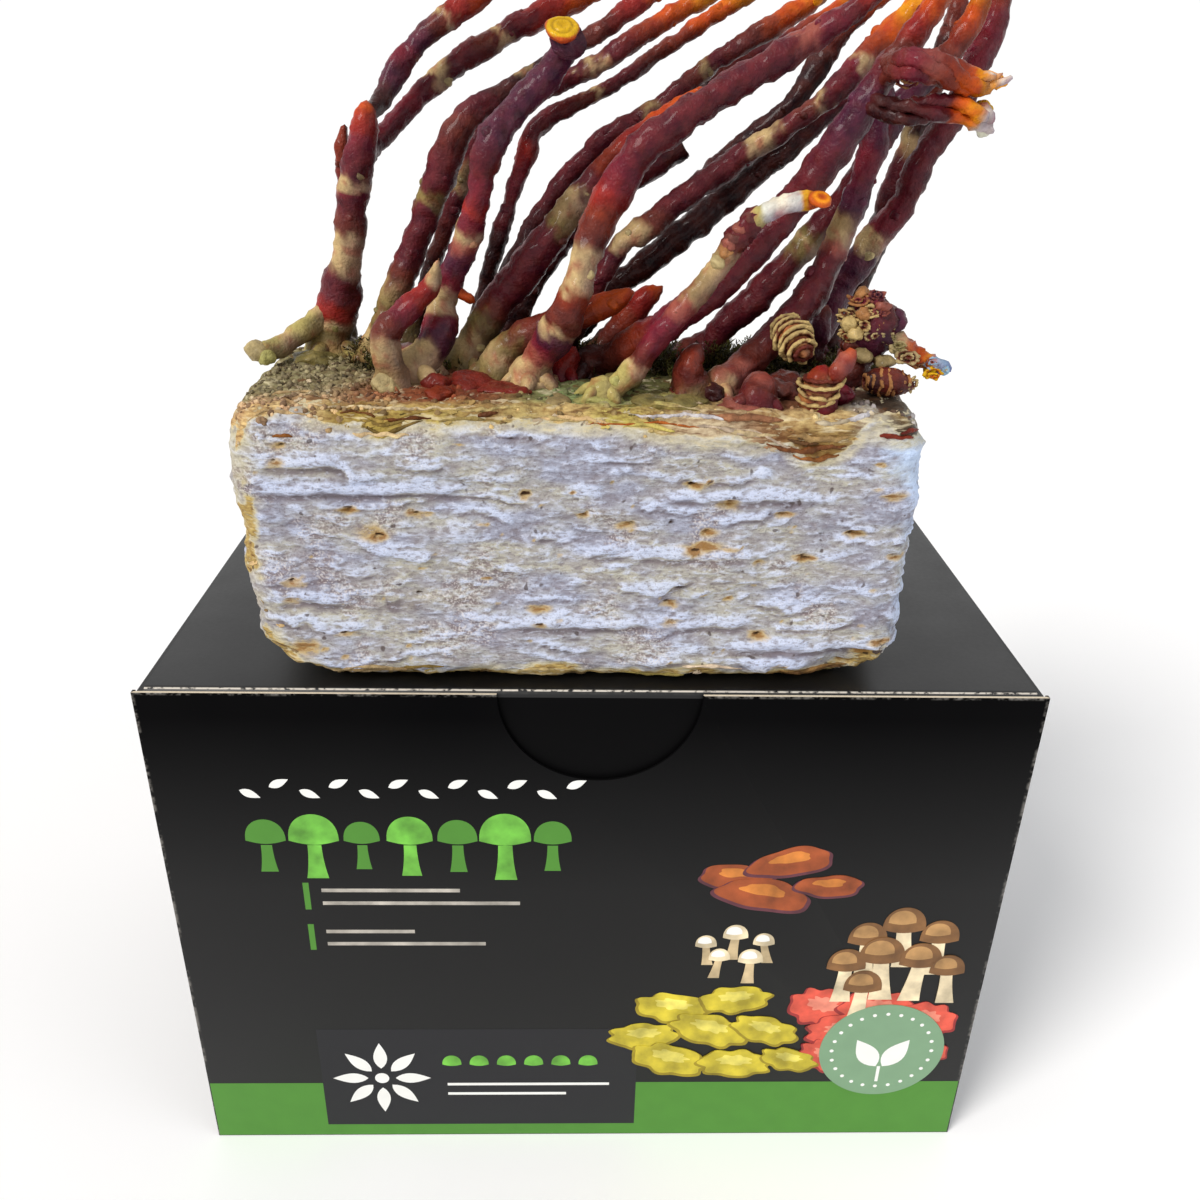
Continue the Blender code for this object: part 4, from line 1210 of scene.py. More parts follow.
def frilled_ring(place, facing, radius, thick, frill, stretch, seed, tones):
    """One ruffled ring, pale along its edge and darker inside; measures in millimetres."""
    nothing_selected()
    bpy.ops.mesh.primitive_torus_add(major_radius=radius - thick, minor_radius=thick, major_segments=44,
                                     minor_segments=8)
    ring = bpy.context.object
    for vert in ring.data.vertices:
        way = Vector((vert.co.x, vert.co.y, 0.0)).normalized()
        wave = noise.noise(way * 1.8 + Vector((0, 0, seed * 3.1))) + 0.4 * noise.noise(way * 5 + Vector((0, 0, seed)))
        reach = math.hypot(vert.co.x, vert.co.y) / radius
        vert.co.x *= 1.0 + frill * wave * reach
        vert.co.y *= 1.0 + frill * wave * reach
        vert.co.z = 0.8 * vert.co.z + 0.9 * frill * wave * reach * radius
    pale, core_tone = shade(tones[0]), shade(tones[1])
    paint_all(ring, lambda co: core_tone + (pale - core_tone) * soft_step(
        (math.hypot(co.x, co.y) - radius + 2 * thick) / (2 * thick) + 0.5 * noise.noise(co), 0.3, 0.75))
    set_down(ring, (MM * stretch, MM / stretch, MM), facing, place)
    bpy.ops.object.shade_smooth()
    return ring


def along_line(line, step):
    """Places at even steps along a middle line, each with its tangent and radius."""
    found, left = [], 0.0
    for start, end in zip(line, line[1:]):
        left -= (end.xyz - start.xyz).length
        if left <= 0.0:
            found.append((start.xyz.copy(), (end.xyz - start.xyz).normalized(), start.w))
            left = step
    return found


rings = {name: [] for name in [*RINGED, *CURLS]}
for name, (step, thick, first, last, *tones) in RINGED.items():
    for index, (place, tangent, radius) in enumerate(along_line(lines[name], step * MM)[first:last]):
        reach = max(radius / MM, 2.4) * (1.0 + 0.16 * noise.noise(Vector((index * 1.9, len(name), 0.0))))
        tilted = (tangent + noise.noise_vector(Vector((index * 1.3, len(name), 7.0))) * 0.15).normalized()
        groove = index % 2 == 1 and step < 1.5
        rings[name].append(frilled_ring(place, tilted, reach * (0.84 if groove else 1.04), thick, 0.24, 1.0,
                                        index + len(name), tones[1:] * 2 if groove else tones))
for seed, (name, curl) in enumerate((name, curl) for name, curls in CURLS.items() for curl in curls):
    centre, facing, radius, *tones = curl
    facing = Vector(facing).normalized()
    for index, share in enumerate((1.0, 0.7, 0.42)):
        shift = noise.noise_vector(Vector((seed * 1.7, index * 2.3, 0.0))) * 0.35 * radius
        place = on_block(*(Vector(centre) + facing * index * 0.2 * radius + shift))
        tilted = (facing + noise.noise_vector(Vector((seed * 2.9, index * 1.1, 4.0))) * 0.9).normalized()
        rings[name].append(frilled_ring(place, tilted, radius * share, radius * 0.2 * share ** 0.3, 0.45, 1.25,
                                        seed + index * 3.3, tones))
for name, found in rings.items():
    join_into(found[0], found[1:])
    found[0].name = name + "_rings"
    push_out(found[0], wart_texture, 0.4 * MM)
    found[0].data.materials.append(crust_skin)
    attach(found[0], "root")
    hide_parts(name)
    print(name, len(found), "rings")

# %% [markdown]
# ## Feet that grip the block
#
# A stem doesn't stand on the block like a post. Its foot runs out into a few blunt lobes that lie on the
# crust. Each lobe is a short drawn tube from the stem's middle outward and down, in the foot's own colour.

# %% Root lobes
LOBED = {"antler_left": 4, "antler_second": 3, "antler_capped": 5, "stub_pale_tip": 3, "antler_orange_tip": 4,
         "antler_front": 5, "antler_pale_foot": 4, "stub_orange_left": 3, "antler_broad": 4, "antler_right_glossy": 4,
         "antler_right_inner": 3, "antler_banded": 3, "bud_brown_tall": 3, "bud_brown_front": 3, "bud_red_middle": 3,
         "antler_right_outer": 3, "antler_second_back": 2, "antler_dark_long": 3}
dice = random.Random(19)
for name, count in LOBED.items():
    foot = lines[name][0]
    start_turn = dice.uniform(0, 2 * math.pi)
    for index in range(count):
        turn = start_turn + 2 * math.pi * (index + dice.uniform(-0.25, 0.25)) / count
        reach = foot.w * dice.uniform(1.35, 1.9)
        out = Vector((math.cos(turn), math.sin(turn), 0.0))
        girth = foot.w * dice.uniform(0.42, 0.58)
        knots = [Vector((*(foot.xyz + Vector((0.0, 0.0, up * MM)) + out * away), girth * share))
                 for up, away, share in ((3.2, foot.w * 0.35, 0.9), (1.5, reach * 0.8, 1.0), (-0.6, reach * 1.25, 0.5))]
        lobe = draw_tube("lobe", [(point.xyz, point.w) for point in smooth_line(knots)], 5)
        paint_bands(lobe, name, lines[name])
        push_out(lobe, lump_texture, 1.2 * MM)
        lobe.data.materials.append(lacquer)
        join_into(stems[name], [lobe])
print("lobes on", len(LOBED), "stems")

# %% [markdown]
# ## Crust lips, flakes and crumbs
#
# The rim has dried in layers. Its thicker edges are lips that run level round the block: tubes of uneven
# thickness, drawn along the skin. Between them it peels in thin flakes. One flake is a small grid with a
# torn outline, curled and given a thickness; its copies are laid where the photo shows crust, each turned
# and coloured on its own, with crumbs of substrate between them.

# %% Lips and flakes
# Start and end in millimetres to the right, height over the rim's line, radius and colour
RIM_LIPS = [(-98, -76, 2.5, 0.8, (232, 206, 156)), (-84, -34, 6.5, 0.7, (218, 202, 160)),
    (-72, -62, 3.5, 0.6, (100, 64, 26)), (-60, -46, 2.5, 0.7, (92, 54, 22)), (-68, -52, -0.5, 0.8, (230, 206, 156)),
    (-42, -20, 3, 0.7, (196, 180, 120)), (-34, -28, 1.5, 0.9, (96, 60, 34)), (-24, -10, 4.5, 1, (206, 202, 198)),
    (-18, 4, 1, 0.8, (220, 192, 138)), (-4, 30, 0.6, 0.5, (176, 98, 38)), (8, 40, 4, 0.8, (212, 214, 216)),
    (30, 52, 5.5, 1.3, (146, 104, 74)), (32, 50, 2, 0.9, (206, 190, 146)), (46, 70, 1, 1.1, (112, 72, 40)),
    (52, 70, 4.5, 1, (166, 140, 92)), (54, 68, -1.5, 0.8, (134, 88, 44)), (60, 72, 7.5, 1, (196, 188, 160)),
    (69, 80, 3, 1.3, (212, 216, 220)), (78, 88, -2, 0.9, (116, 42, 28)), (84, 91, 0, 0.8, (104, 38, 30)),
    (-90, -84, -8, 0.7, (132, 84, 34))]
# How many more, how long in millimetres, and the radius
LIPS = {"rim": (12, (8, 26), 0.7), "lower edge": (12, (8, 26), 0.8)}
FLAKE_COUNTS = {"rim": 60, "front strip": 50, "left corner": 150, "right corner": 16, "lower edge": 36}
FLAKE_SIZES = (1.5, 3.6)
CRUMB_COUNT = 1500
dice = random.Random(31)
tree_of_skin = BVHTree.FromPolygons([vert.co for vert in skin.data.vertices],
                                    [tuple(face.vertices) for face in skin.data.polygons])


def flake_shape(bend, slim, seed):
    """One curl of crust, about 1 unit long, with a torn outline, bent by this many degrees."""
    nothing_selected()
    bpy.ops.mesh.primitive_grid_add(x_subdivisions=9, y_subdivisions=4, size=1.0)
    made = bpy.context.object
    for vert in made.data.vertices:
        taper = 1.0 - 0.75 * (abs(vert.co.x) * 2) ** 2.5
        vert.co.y *= slim * taper
        vert.co.y += 0.16 * noise.noise(Vector((vert.co.x * 4.5, seed, 0.0)))
        if abs(vert.co.y) > 0.3 * slim:
            vert.co.y *= 1.0 + 0.5 * noise.noise(Vector((vert.co.x * 9, vert.co.y * 9, seed)))
        vert.co.z += 0.10 * noise.noise(Vector((vert.co.x * 3, vert.co.y * 4, seed + 9.0)))
    apply(made, "SOLIDIFY", thickness=0.05, offset=0.0)
    apply(made, "SIMPLE_DEFORM", deform_method="BEND", deform_axis="X", angle=math.radians(bend))
    shape = ([vert.co.copy() for vert in made.data.vertices], [tuple(face.vertices) for face in made.data.polygons])
    bpy.data.objects.remove(made, do_unlink=True)
    return shape


FLAKE_FORMS = ((30, 0.46), (80, 0.4), (140, 0.34), (-60, 0.44), (15, 0.6), (200, 0.3), (50, 0.34), (-25, 0.64))
flake_shapes = [flake_shape(bend, slim, seed) for seed, (bend, slim) in enumerate(FLAKE_FORMS)]


def land(origin, direction):
    hit, normal, _, _ = tree_of_skin.ray_cast(origin, direction)
    return hit, normal


def above(x, y):
    """Where a ray starts that comes straight down on this place, and its direction."""
    return Vector((x, y, 400)) * MM, Vector((0.0, 0.0, -1.0))


def from_front(x, seen):
    """Where a ray starts that comes from the front and a little above, and its direction."""
    start = Vector((x, -140.0, seen + SLANT * (140.0 + BLOCK_LOW.y / MM))) * MM
    return start + Vector((0, 0, CARTON_TOP)), Vector((0, 1, -SLANT)).normalized()


def draw_lip(starts, girth, seed, tone):
    """One lip of crust through the places where these rays land, until the skin falls away."""
    points = []
    for index, (origin, direction) in enumerate(starts):
        hit, normal = land(origin, direction)
        if hit is None or (points and (hit - points[-1][0]).length > 3 * MM):
            break
        swell = math.sin(math.pi * (index + 0.7) / (len(starts) + 0.4)) ** 0.6
        swell *= 0.8 + 0.7 * noise.noise(Vector((index * 0.3, seed, 5.0)))
        points.append((hit, girth * MM * swell))
    if len(points) > 4:
        lips.append(draw_tube("lip", points, 3))
        paint_all(lips[-1], speckled(tone, 0.6, 1.6 * MM))


lips = []
for seed, (left, right, over, girth, colour) in enumerate(RIM_LIPS):
    across = np.arange(left, right, 1.1)
    sways = [1.5 * noise.noise(Vector((x * 0.1, seed * 3.7, 0.0))) + 0.8 * noise.noise(Vector((x * 0.4, seed, 2.0)))
             for x in across]
    level = on_path(RIM, (left + right) / 2)
    follow = [0.3 * (on_path(RIM, x) - level) for x in across]
    draw_lip([from_front(x, level + over + rise + sway) for x, rise, sway in zip(across, follow, sways)], girth, seed,
             vertex_tone(colour))
for region, (count, reach, girth) in LIPS.items():
    for index in range(count):
        x, off, seed = dice.uniform(-99, 60), dice.uniform(-1.5, 7.0), dice.uniform(0, 90)
        starts = []
        for step in range(int(dice.uniform(*reach) / 1.1)):
            sway, at = 1.6 * noise.noise(Vector((step * 0.09, seed, 0.0))), x + step * 1.1
            if region == "rim":
                starts.append(from_front(at, on_path(RIM, at) + off + sway))
            else:
                starts.append(from_front(at, max(on_path(LOWER_EDGE, at) + 0.5 * off + sway - 1.0, 1.2)))
        tone = patch_colour(x, -74.0, 1.0) * dice.choice((0.4, 0.65, 0.9, 1.1))
        draw_lip(starts, girth, seed, tone)
join_into(lips[0], lips[1:])
lips[0].name = "crust_lips"
push_out(lips[0], wart_texture, 0.6 * MM)
lips[0].data.materials.append(crust_skin)
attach(lips[0], "root")
print(len(lips), "lips of crust")


def scatter(reach):
    """A random vector, each of its parts within this reach."""
    return Vector([dice.uniform(-reach, reach) for axis in range(3)])


def crumb_shape(seed):
    shape = bmesh.new()
    bmesh.ops.create_icosphere(shape, subdivisions=1, radius=1.0)
    verts = [vert.co * (1.0 + 0.5 * noise.noise(vert.co * 1.4 + Vector((seed, 0, 0)))) for vert in shape.verts]
    faces = [tuple(vert.index for vert in face.verts) for face in shape.faces]
    shape.free()
    return verts, faces


class Heap:
    """Many small copies in one mesh, each with its own colour."""

    def __init__(self):
        self.verts, self.faces, self.colours = [], [], []

    def lay(self, shape, turn, size, place, colour):
        start = len(self.verts)
        self.verts += [turn @ (vert * size) + place for vert in shape[0]]
        self.faces += [tuple(start + index for index in face) for face in shape[1]]
        self.colours += [colour] * len(shape[0])

    def build(self, name, material):
        mesh = bpy.data.meshes.new(name)
        mesh.from_pydata([tuple(vert) for vert in self.verts], [], self.faces)
        made = object_of(name, mesh)
        paint = mesh.color_attributes.new("grown_colour", "FLOAT_COLOR", "POINT")
        for dab, colour in zip(paint.data, self.colours):
            dab.color = (*colour, 1.0)
        mesh.materials.append(material)
        pick(made)
        bpy.ops.object.shade_smooth()
        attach(made, "root")
        print(name, len(mesh.polygons), "faces")


def flake_start(region):
    """Where a ray starts, and its direction, for a flake in this region."""
    if region == "rim":
        x = dice.uniform(-101, 70)
        return from_front(x, on_path(RIM, x) + dice.uniform(-1.5, 6.0))
    if region == "lower edge":
        x, high = dice.choice([(dice.uniform(-97, -60), 0), (dice.uniform(-60, -30), 0), (dice.uniform(76, 90), 0),
                               (dice.uniform(-102, -94), dice.uniform(20, 45)), (dice.uniform(20, 76), 0)])
        high += on_path(LOWER_EDGE, x) * dice.uniform(0.5, 1.1) if high == 0 else 0
        return from_front(x, max(high, 1.5))
    if region == "front strip":
        x, y = dice.uniform(-100, 66), dice.uniform(-66, -54)
    elif region == "left corner":
        x, y = dice.uniform(-102, -62), dice.uniform(-74, 10)
    else:
        x, y = dice.uniform(62, 94), dice.uniform(-74, 10)
    return above(x, y)


heap = Heap()
for region, count in FLAKE_COUNTS.items():
    for index in range(count):
        origin, direction = flake_start(region)
        hit, normal = land(origin, direction)
        if hit is None:
            continue
        tilt = (normal + scatter(0.3)).normalized()
        long_way = Vector((1.0, dice.uniform(-0.4, 0.4), dice.uniform(-0.15, 0.15)))
        if abs(normal.x) > 0.7:
            long_way = Vector((0.0, 1.0, dice.uniform(-0.3, 0.3)))
        if "corner" in region:
            long_way = Vector((dice.uniform(-1, 1), dice.uniform(-1, 1), 0.0))
        side_way = tilt.cross(long_way).normalized() * dice.choice((-1.0, 1.0))
        along = side_way.cross(tilt)
        turn = Matrix((along, side_way, along.cross(side_way))).transposed()
        size = dice.uniform(*FLAKE_SIZES) * MM
        rim = 1.0 if region in ("rim", "lower edge") else 0.0
        colour = patch_colour(hit.x / MM, hit.y / MM, rim) * dice.choice((0.4, 0.7, 0.9, 1.1, 1.3))
        if dice.random() < (0.12 if region == "left corner" else 0.25):
            colour = vertex_tone((232, 216, 180)) * dice.uniform(0.6, 1.0)
        heap.lay(dice.choice(flake_shapes), turn, size, hit + normal * 0.05 * MM, np.clip(colour, 0, PAINT_LIMIT))
crumb_shapes = [crumb_shape(seed) for seed in range(6)]
for index in range(CRUMB_COUNT):
    x, y = dice.uniform(-102, 94 if index % 2 else -58), dice.uniform(-78, 34 if index % 2 else 6)
    hit, normal = land(*above(x, y))
    if hit is None or normal.z < 0.75:
        continue
    turn = Matrix.Rotation(dice.uniform(0, FULL_TURN), 3, scatter(1.0).normalized())
    colour = patch_colour(x, y, 0.0) * dice.choice((0.35, 0.6, 0.9, 1.2, 1.5))
    heap.lay(dice.choice(crumb_shapes), turn, dice.uniform(0.35, 1.15) * MM, hit,
             np.clip(colour, 0, PAINT_LIMIT))
heap.build("crust_flakes", crust_skin)

# %% [markdown]
# ## Moss between the stems
#
# Dark green moss has settled between the stems' feet, thickest behind the front row. A sprig is a few thin
# leaves on a stalk, each leaf a flat spindle of eight faces; thousands of copies make the cushion. Between the
# feet it stands up in small cushions, where the copies fill a dome.

# %% Moss
MOSS_BEDS = [(-20, -6, 58, 22, 900), (-45, -22, 26, 12, 260), (30, -28, 34, 12, 420), (66, -30, 22, 14, 420),
    (50, 4, 36, 18, 420), (-80, 2, 14, 20, 160), (84, -12, 8, 18, 160)]
# Cushions: millimetres to the right and back, reach, height, and how many sprigs
MOSS_CUSHIONS = [(-72, -22, 7, 9, 170), (-33, -27, 8, 9, 220), (-2, -27, 9, 9, 240), (20, -24, 9, 9, 220),
    (38, -22, 10, 10, 260), (51, -25, 10, 11, 300), (63, -20, 8, 10, 200)]
MOSS_GREENS = (48, 62, 26), (70, 84, 34), (96, 104, 48), (36, 44, 22)
SPINDLE = ([Vector((0, 0, 0)), Vector((0.14, 0, 0.45)), Vector((0, 0.05, 0.45)), Vector((-0.14, 0, 0.45)),
            Vector((0, -0.05, 0.45)), Vector((0, 0, 1))],
           [(0, 2, 1), (0, 3, 2), (0, 4, 3), (0, 1, 4), (5, 1, 2), (5, 2, 3), (5, 3, 4), (5, 4, 1)])
dice = random.Random(53)


def sprig_shape():
    """Leaves that stand out from one stalk, in the spindle's own shape."""
    verts, faces = [], []
    for index in range(7):
        up = index / 7 * 0.7
        turn = Matrix.Rotation(index * 2.4, 3, "Z") @ Matrix.Rotation(dice.uniform(0.4, 1.1), 3, "X")
        start = len(verts)
        verts += [turn @ (vert * 0.55) + Vector((0, 0, up)) for vert in SPINDLE[0]]
        faces += [tuple(start + corner for corner in face) for face in SPINDLE[1]]
    return verts, faces


sprigs = [sprig_shape() for index in range(5)]
moss = Heap()
for at_x, at_y, wide, deep, count in MOSS_BEDS:
    for index in range(count):
        x, y = at_x + wide * dice.uniform(-1, 1), at_y + deep * dice.uniform(-1, 1)
        hit, normal = land(*above(x, y))
        if hit is None or normal.z < 0.5 or noise.noise(Vector((x / 14, y / 9, 3.0))) < -0.18:
            continue
        tilt = (normal + scatter(0.6)).normalized()
        turn = tilt.to_track_quat("Z", "Y").to_matrix() @ Matrix.Rotation(dice.uniform(0, FULL_TURN), 3, "Z")
        green = vertex_tone(dice.choice(MOSS_GREENS))
        moss.lay(dice.choice(sprigs), turn, dice.uniform(2.2, 5.0) * MM, hit - normal * 0.3 * MM, green)
moss.build("moss", crust_skin)
cushions = Heap()
for at_x, at_y, reach, height, count in MOSS_CUSHIONS:
    for index in range(count):
        out = Vector([dice.gauss(0.0, 1.0) for axis in range(3)]).normalized() * dice.uniform(0.4, 0.95)
        place = Vector((at_x + out.x * reach, at_y + out.y * reach, abs(out.z) * height)) * MM
        place.z += BLOCK_TOP - 1.0 * MM
        aim = Vector((out.x, out.y, abs(out.z) + 0.2)) + scatter(0.4)
        # Sprigs low in a cushion are painted darker: painted shade at its foot
        green = vertex_tone(dice.choice(MOSS_GREENS)) * (0.45 + 0.65 * abs(out.z))
        turn = aim.to_track_quat("Z", "Y").to_matrix()
        cushions.lay(dice.choice(sprigs), turn, dice.uniform(2.0, 3.6) * MM, place, green)
cushions.build("moss_cushions", crust_skin)

# %% [markdown]
# ## Small growths on the top
#
# A pale ball beside the left stub, a brown mound behind it and a few buds that have only just broken through
# fill the front row. Each is a sphere that noise has pushed out of round.

# %% Small growths
# Millimetres to the right, back and above the block's top, the radius, how flat it is, and its colour
GROWTHS = [(-62, -54, 1, 4.2, 0.9, "cream"), (-58, -22, 1, 8, 0.55, "mauve"), (-30, -52, -0.5, 6.5, 0.35, "brick"),
    (-38, -46, 0, 7.5, 0.4, "brick"), (-24, -56, 0, 4, 0.5, "brick"), (-46, -58, 0, 4.5, 0.5, "rust"),
    (-48, -50, 1, 4, 0.7, "brick"), (6, -48, 1, 6, 0.5, "olive"), (14, -62, 0, 5, 0.3, "olive"),
    (24, -62, 0, 6, 0.25, "olive"), (33, -56, 1, 4.5, 0.6, "dark"), (53, -56, 1.5, 5, 0.7, "mauve"),
    (56, -48, 2, 5, 0.8, "brown"), (70, -58, 1, 4.5, 0.6, "wine"), (48, -50, 2, 4.5, 0.8, "mauve"),
    (92, -36, 0, 5, 0.5, "dark"), (40, -66, 0, 6, 0.35, "pink"), (0, -60, -0.5, 7, 0.25, "grass"),
    (-12, -62, -0.5, 4.5, 0.35, "pale"), (-90, -20, 0, 7, 0.4, "olive"), (36, -50, 1, 5, 0.6, "mauve")]
growths = []
for index, (x, y, high, radius, flat, colour) in enumerate(GROWTHS):
    nothing_selected()
    bpy.ops.mesh.primitive_ico_sphere_add(subdivisions=4, radius=radius * MM)
    bump_piece = bpy.context.object
    for vert in bump_piece.data.vertices:
        seed = Vector((index * 3.7, index * 1.3, 0.0))
        swell = noise.noise(vert.co / (radius * 0.8 * MM) + seed) * 0.38
        vert.co *= 1.0 + (swell + noise.noise(vert.co / (1.6 * MM) + seed) * 0.09)
        vert.co.z *= flat
    paint_all(bump_piece, speckled(shade(colour), 0.35, 2.0 * MM))
    bump_piece.location = on_block(x, y, high)
    settle(bump_piece)
    bpy.ops.object.shade_smooth()
    growths.append(bump_piece)
join_into(growths[0], growths[1:])
growths[0].name = "small_growths"
growths[0].data.materials.append(lacquer)
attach(growths[0], "root")
print(len(GROWTHS), "small growths")

# %% [markdown]
# ## The carton's walls
#
# A carton is one sheet of black-coated card, 1.5 mm thick, that is creased, folded and glued. A crease has a
# small radius, and that line of light along each edge is what makes it read as card and not as a block. The
# walls are made as one band with rounded corners, then cut down at the sides and the back, where the flaps
# fold over, and the thumb notch is cut out of the front.

# %% Carton walls
CARD = 1.5 * MM
CREASE_RADIUS = 1.6 * MM
WALL_LOW, WALL_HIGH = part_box("front_wall")
BACK_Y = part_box("back_wall")[1].y
SIDE_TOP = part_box("left_wall")[1].z
NOTCH_X, NOTCH_RADIUS = 1.5 * MM, 31.5 * MM
RAW_EDGE_REACH = 124.5 * MM


def add_box(name, low, high):
    low, high = Vector(low), Vector(high)
    nothing_selected()
    bpy.ops.mesh.primitive_cube_add(size=1.0, location=(low + high) / 2)
    made = bpy.context.object
    made.name = name
    made.scale = high - low
    settle(made)
    return made


def soften(piece, width, segments):
    """Rounds a piece's sharp edges a little."""
    apply(piece, "BEVEL", width=width, segments=segments, limit_method="ANGLE", angle_limit=math.radians(50))


def cut_away(piece, cutter):
    apply(piece, "BOOLEAN", object=cutter, operation="DIFFERENCE", solver="EXACT")
    bpy.data.objects.remove(cutter, do_unlink=True)


walls = add_box("carton_walls", (WALL_LOW.x, WALL_LOW.y, 0.0), (WALL_HIGH.x, BACK_Y, WALL_HIGH.z))
bpy.ops.object.mode_set(mode="EDIT")
sheet = bmesh.from_edit_mesh(walls.data)
for edge in sheet.edges:
    edge.select = abs(edge.verts[0].co.z - edge.verts[1].co.z) > CARD
bmesh.update_edit_mesh(walls.data)
bpy.ops.mesh.bevel(offset=CREASE_RADIUS, segments=4)
bpy.ops.mesh.select_all(action="DESELECT")
sheet = bmesh.from_edit_mesh(walls.data)
for face in sheet.faces:
    face.select = abs(face.normal.z) > 0.5
bmesh.update_edit_mesh(walls.data)
bpy.ops.mesh.delete(type="FACE")
bpy.ops.object.mode_set(mode="OBJECT")
apply(walls, "SOLIDIFY", thickness=CARD, offset=-1.0)
cut_away(walls, add_box("cutter", (-1.0, WALL_LOW.y + CREASE_RADIUS + 0.2 * MM, SIDE_TOP), (1.0, 1.0, 1.0)))
nothing_selected()
bpy.ops.mesh.primitive_cylinder_add(vertices=96, radius=NOTCH_RADIUS, depth=10 * MM, rotation=(math.pi / 2, 0.0, 0.0),
                                    location=(NOTCH_X, WALL_LOW.y, WALL_HIGH.z))
cut_away(walls, bpy.context.object)
soften(walls, 0.2 * MM, 2)
print("walls:", len(walls.data.polygons), "faces")

# %% [markdown]
# ## The lid and the flaps
#
# The lid's sheet comes up from the back wall, lies flat, and goes down behind the front wall as the tuck flap
# that shows in the notch. It is drawn as a folded line with small arcs, drawn out sideways and given its
# thickness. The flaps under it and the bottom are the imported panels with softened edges.

# %% Lid and flaps
LID_LOW, LID_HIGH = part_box("lid")
FOLD_STEPS = 6


def fold(centre_y, centre_z, radius, start, end):
    """Points along a crease's small arc, seen from the side."""
    turns = [math.radians(start + (end - start) * step / FOLD_STEPS) for step in range(FOLD_STEPS + 1)]
    return [(centre_y + radius * math.cos(turn), centre_z + radius * math.sin(turn)) for turn in turns]


middle_z = LID_HIGH.z - CARD / 2
middle_back, middle_front = LID_HIGH.y - CARD / 2, LID_LOW.y + CARD / 2
profile = [(middle_back, SIDE_TOP + 0.1 * MM)]
profile += fold(middle_back - CREASE_RADIUS, middle_z - CREASE_RADIUS, CREASE_RADIUS, 0, 90)
profile += fold(middle_front + CREASE_RADIUS, middle_z - CREASE_RADIUS, CREASE_RADIUS, 90, 180)
profile += [(middle_front, LID_LOW.z)]
nothing_selected()
bpy.ops.curve.primitive_nurbs_path_add(location=(0.0, 0.0, 0.0))
lid = bpy.context.object
lid.name = "carton_lid"
lid.data.dimensions = "2D"
lid.data.splines.clear()
spline = lid.data.splines.new("POLY")
spline.points.add(len(profile) - 1)
for drawn, (y, z) in zip(spline.points, profile):
    drawn.co = (y, z, 0.0, 1.0)
lid.data.fill_mode = "NONE"
lid.data.extrude = LID_HIGH.x
lid.rotation_euler = (math.pi / 2, 0.0, math.pi / 2)
bpy.ops.object.convert(target="MESH")
settle(lid)
apply(lid, "WELD", merge_threshold=0.02 * MM)
apply(lid, "SOLIDIFY", thickness=CARD, offset=0.0)
soften(lid, 0.2 * MM, 2)
turn_outward()

FLAPS = ("lid_dust_flap_left", "lid_dust_flap_right", "bottom_outer_flap", "bottom_inner_flap",
         "bottom_dust_flap_left", "bottom_dust_flap_right")
flaps = {}
for name in FLAPS:
    flaps[name] = copied(name, name + "_card")
    soften(flaps[name], 0.45 * MM, 3)
for piece in (walls, lid, *flaps.values()):
    pick(piece)
    bpy.ops.object.shade_smooth_by_angle(angle=math.radians(30))
print("lid:", len(lid.data.polygons), "faces, and", len(flaps), "flaps")
